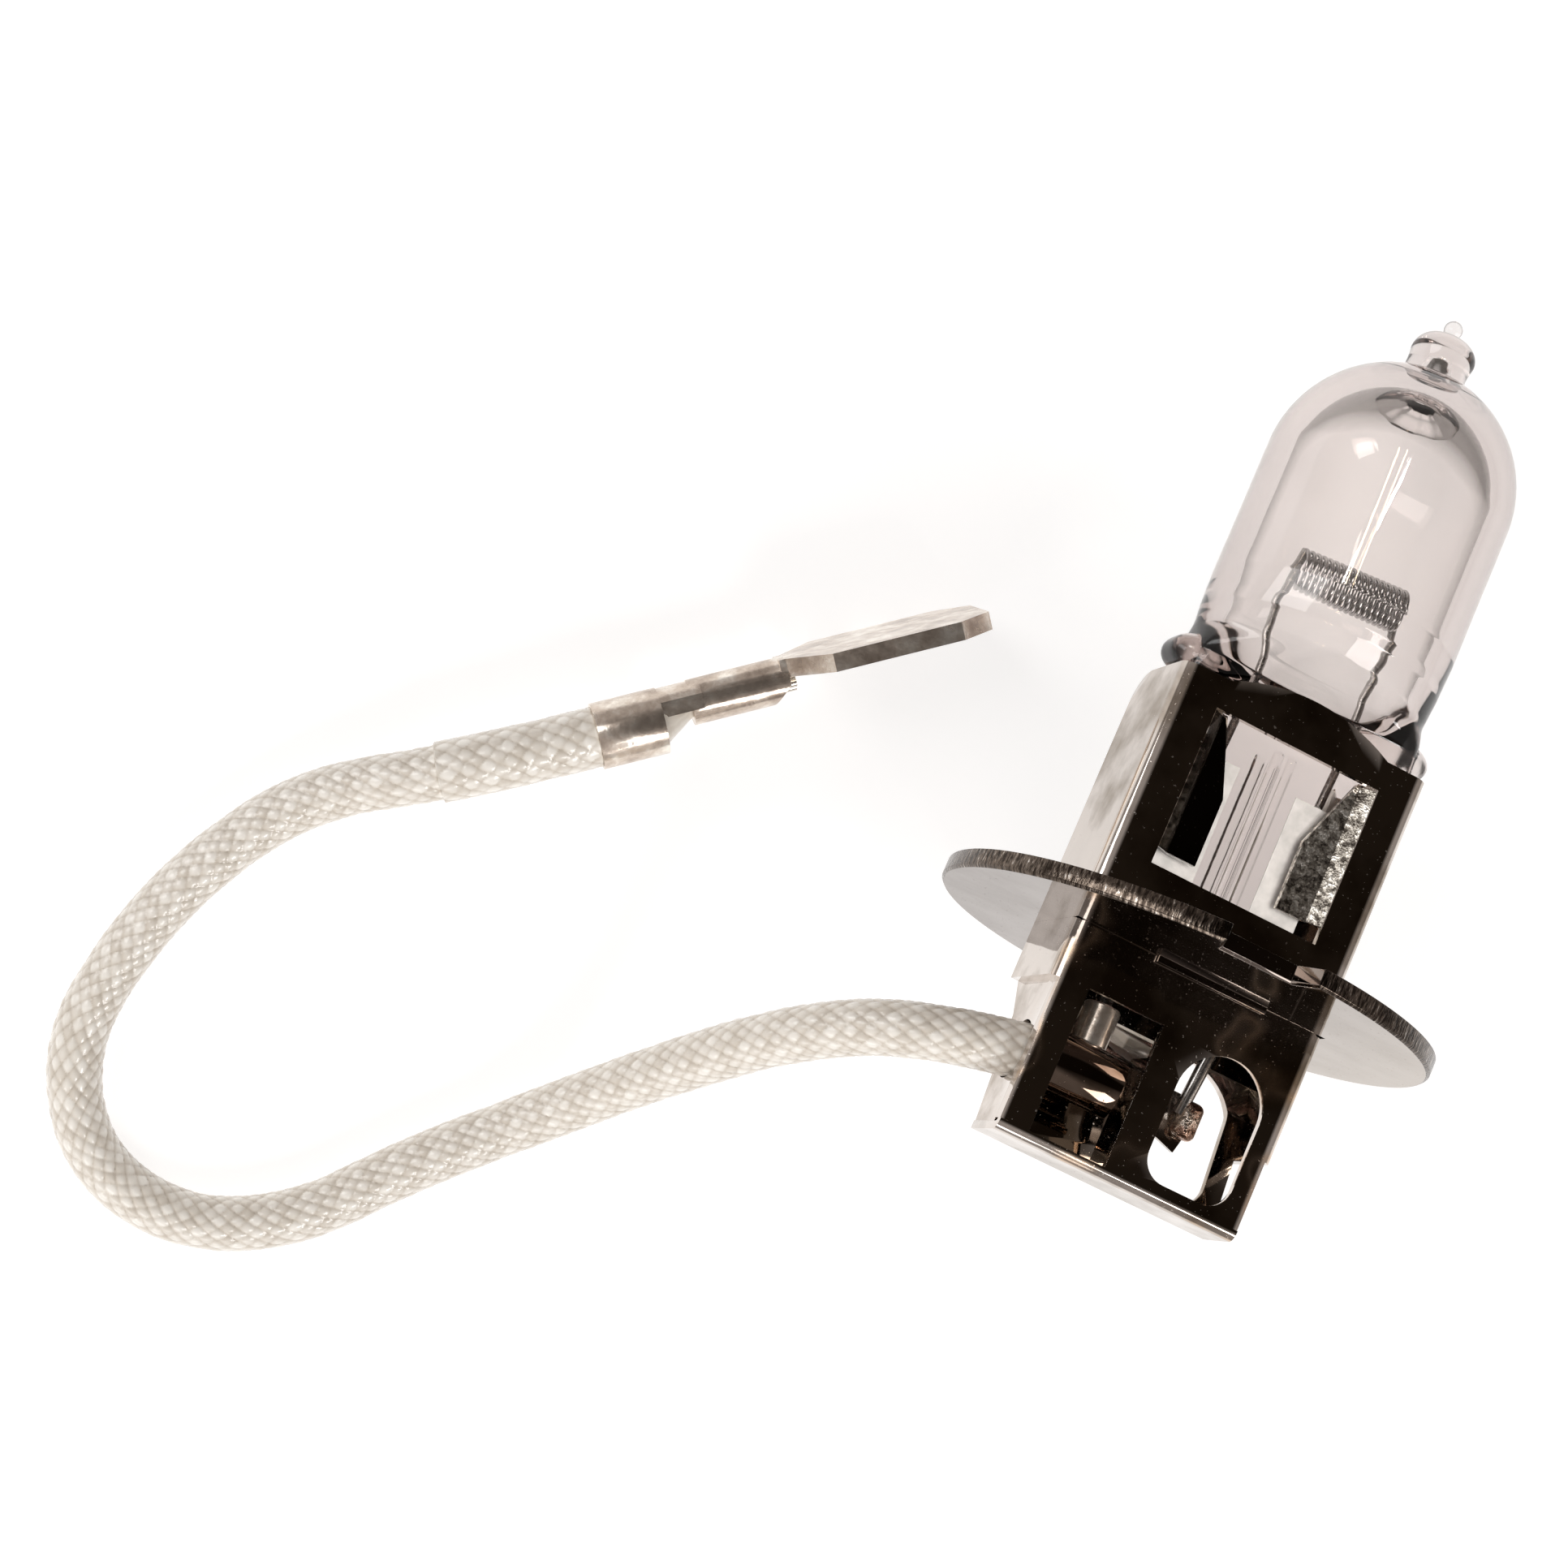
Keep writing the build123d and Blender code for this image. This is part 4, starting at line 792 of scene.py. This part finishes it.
corners = [(x * FLOOR_HALF, y * FLOOR_HALF, FLOOR_Z) for x, y in ((-1, -1), (1, -1), (1, 1), (-1, 1))]
floor_mesh = bpy.data.meshes.new("floor")
floor_mesh.from_pydata(corners, [], [(0, 1, 2, 3)])
floor = bpy.data.objects.new("floor", floor_mesh)
bpy.context.scene.collection.objects.link(floor)
paper = Mat("white_paper", Roughness=0.9)
paper.bsdf.inputs["Base Color"].default_value = (*FLOOR_COLOR, 1)
paper.bsdf.inputs["Specular IOR Level"].default_value = 0.0
paper.bsdf.inputs["Emission Color"].default_value = (*FLOOR_GLOW, 1)
away = paper.node("ShaderNodeVectorMath", operation="DISTANCE")
paper.link(paper.coord.outputs["Object"], away.inputs[0])
away.inputs[1].default_value = GLOW_CENTRE
reach = paper.node("ShaderNodeMapRange")
reach.inputs["From Min"].default_value, reach.inputs["From Max"].default_value = GLOW_REACH
reach.inputs["To Min"].default_value, reach.inputs["To Max"].default_value = GLOW_STRENGTH
paper.link(away.outputs["Value"], reach.inputs["Value"])
paper.link(reach.outputs["Result"], paper.bsdf.inputs["Emission Strength"])
floor_mesh.materials.append(paper.mat)

world = bpy.data.worlds.new("studio")
bpy.context.scene.world = world
world.use_nodes = True
sky = world.node_tree
back = sky.nodes["Background"]
direction = sky.nodes.new("ShaderNodeTexCoord")
dot = sky.nodes.new("ShaderNodeVectorMath")
dot.operation = "DOT_PRODUCT"
dot.inputs[1].default_value = Vector(DARK_SKY).normalized()
sky.links.new(direction.outputs["Generated"], dot.inputs[0])
ramp = sky.nodes.new("ShaderNodeValToRGB")
stops = ramp.color_ramp.elements
stops[0].position, stops[0].color = SKY_FROM, (*SKY_GREY, 1)
stops[1].position, stops[1].color = SKY_TO, (*SKY_DARK, 1)
sky.links.new(dot.outputs["Value"], ramp.inputs["Fac"])
sky.links.new(ramp.outputs["Color"], back.inputs["Color"])
back.inputs["Strength"].default_value = 1.0


def area(name, place, target, size, power, color=(1, 1, 1)):
    """A rectangular lamp at place, facing target."""
    data = bpy.data.lights.new(name, "AREA")
    data.shape = "RECTANGLE"
    data.size, data.size_y = size
    data.energy = power
    data.color = color
    obj = bpy.data.objects.new(name, data)
    bpy.context.scene.collection.objects.link(obj)
    obj.location = place
    obj.rotation_euler = (Vector(target) - Vector(place)).to_track_quat("-Z", "Y").to_euler()
    return obj


area("key", (-0.30, 0.04, 0.22), (-0.01, 0, 0), (0.14, 0.3), 0.5)
area("fill", (0.18, -0.17, 0.26), (-0.01, -0.01, 0), (0.12, 0.12), 0.5)
area("rear", (-0.05, -0.34, 0.16), (0, 0, 0), (0.34, 0.1), 0.35)

glass_only = bpy.data.collections.new("glass_only")
glass_only.objects.link(glass)


def glint(name, spot, size, power, color=(1, 0.98, 0.94)):
    """A small lamp that the camera sees mirrored in the glass at a lamp-frame x, z spot."""
    x, z = spot
    y = -np.sqrt(GLASS_R**2 - x**2)
    outward = (LAMP_X * x + LAMP_Y * y).normalized()
    place = lamp(x, y, z)
    view = (place - camera.matrix_world.translation).normalized()
    mirrored = view - outward * 2 * view.dot(outward)
    light = area(name, place + mirrored * GLINT_AWAY, place, size, power, color)
    light.light_linking.receiver_collection = glass_only


glint("glint_high", (-1.46, 20.7), (0.016, 0.003), 0.03)
glint("glint_low", (-2.04, 14.5), (0.022, 0.004), 0.05)
glint("streak_a", (-1.9, 18.6), (0.004, 0.03), 0.012, (1, 0.8, 0.56))
glint("streak_b", (-1.6, 19.0), (0.003, 0.026), 0.008, (1, 0.8, 0.56))

# what is seen through the pinch is lit by a lamp of its own
behind_pinch = bpy.data.collections.new("behind_pinch")
for node in ("rear_shell", "foil_left", "foil_right"):
    behind_pinch.objects.link(nodes[node])
inner = area("inner", (-0.02, 0.02, 0.26), (0, 0, 0), (0.05, 0.05), 0.9)
inner.light_linking.receiver_collection = behind_pinch
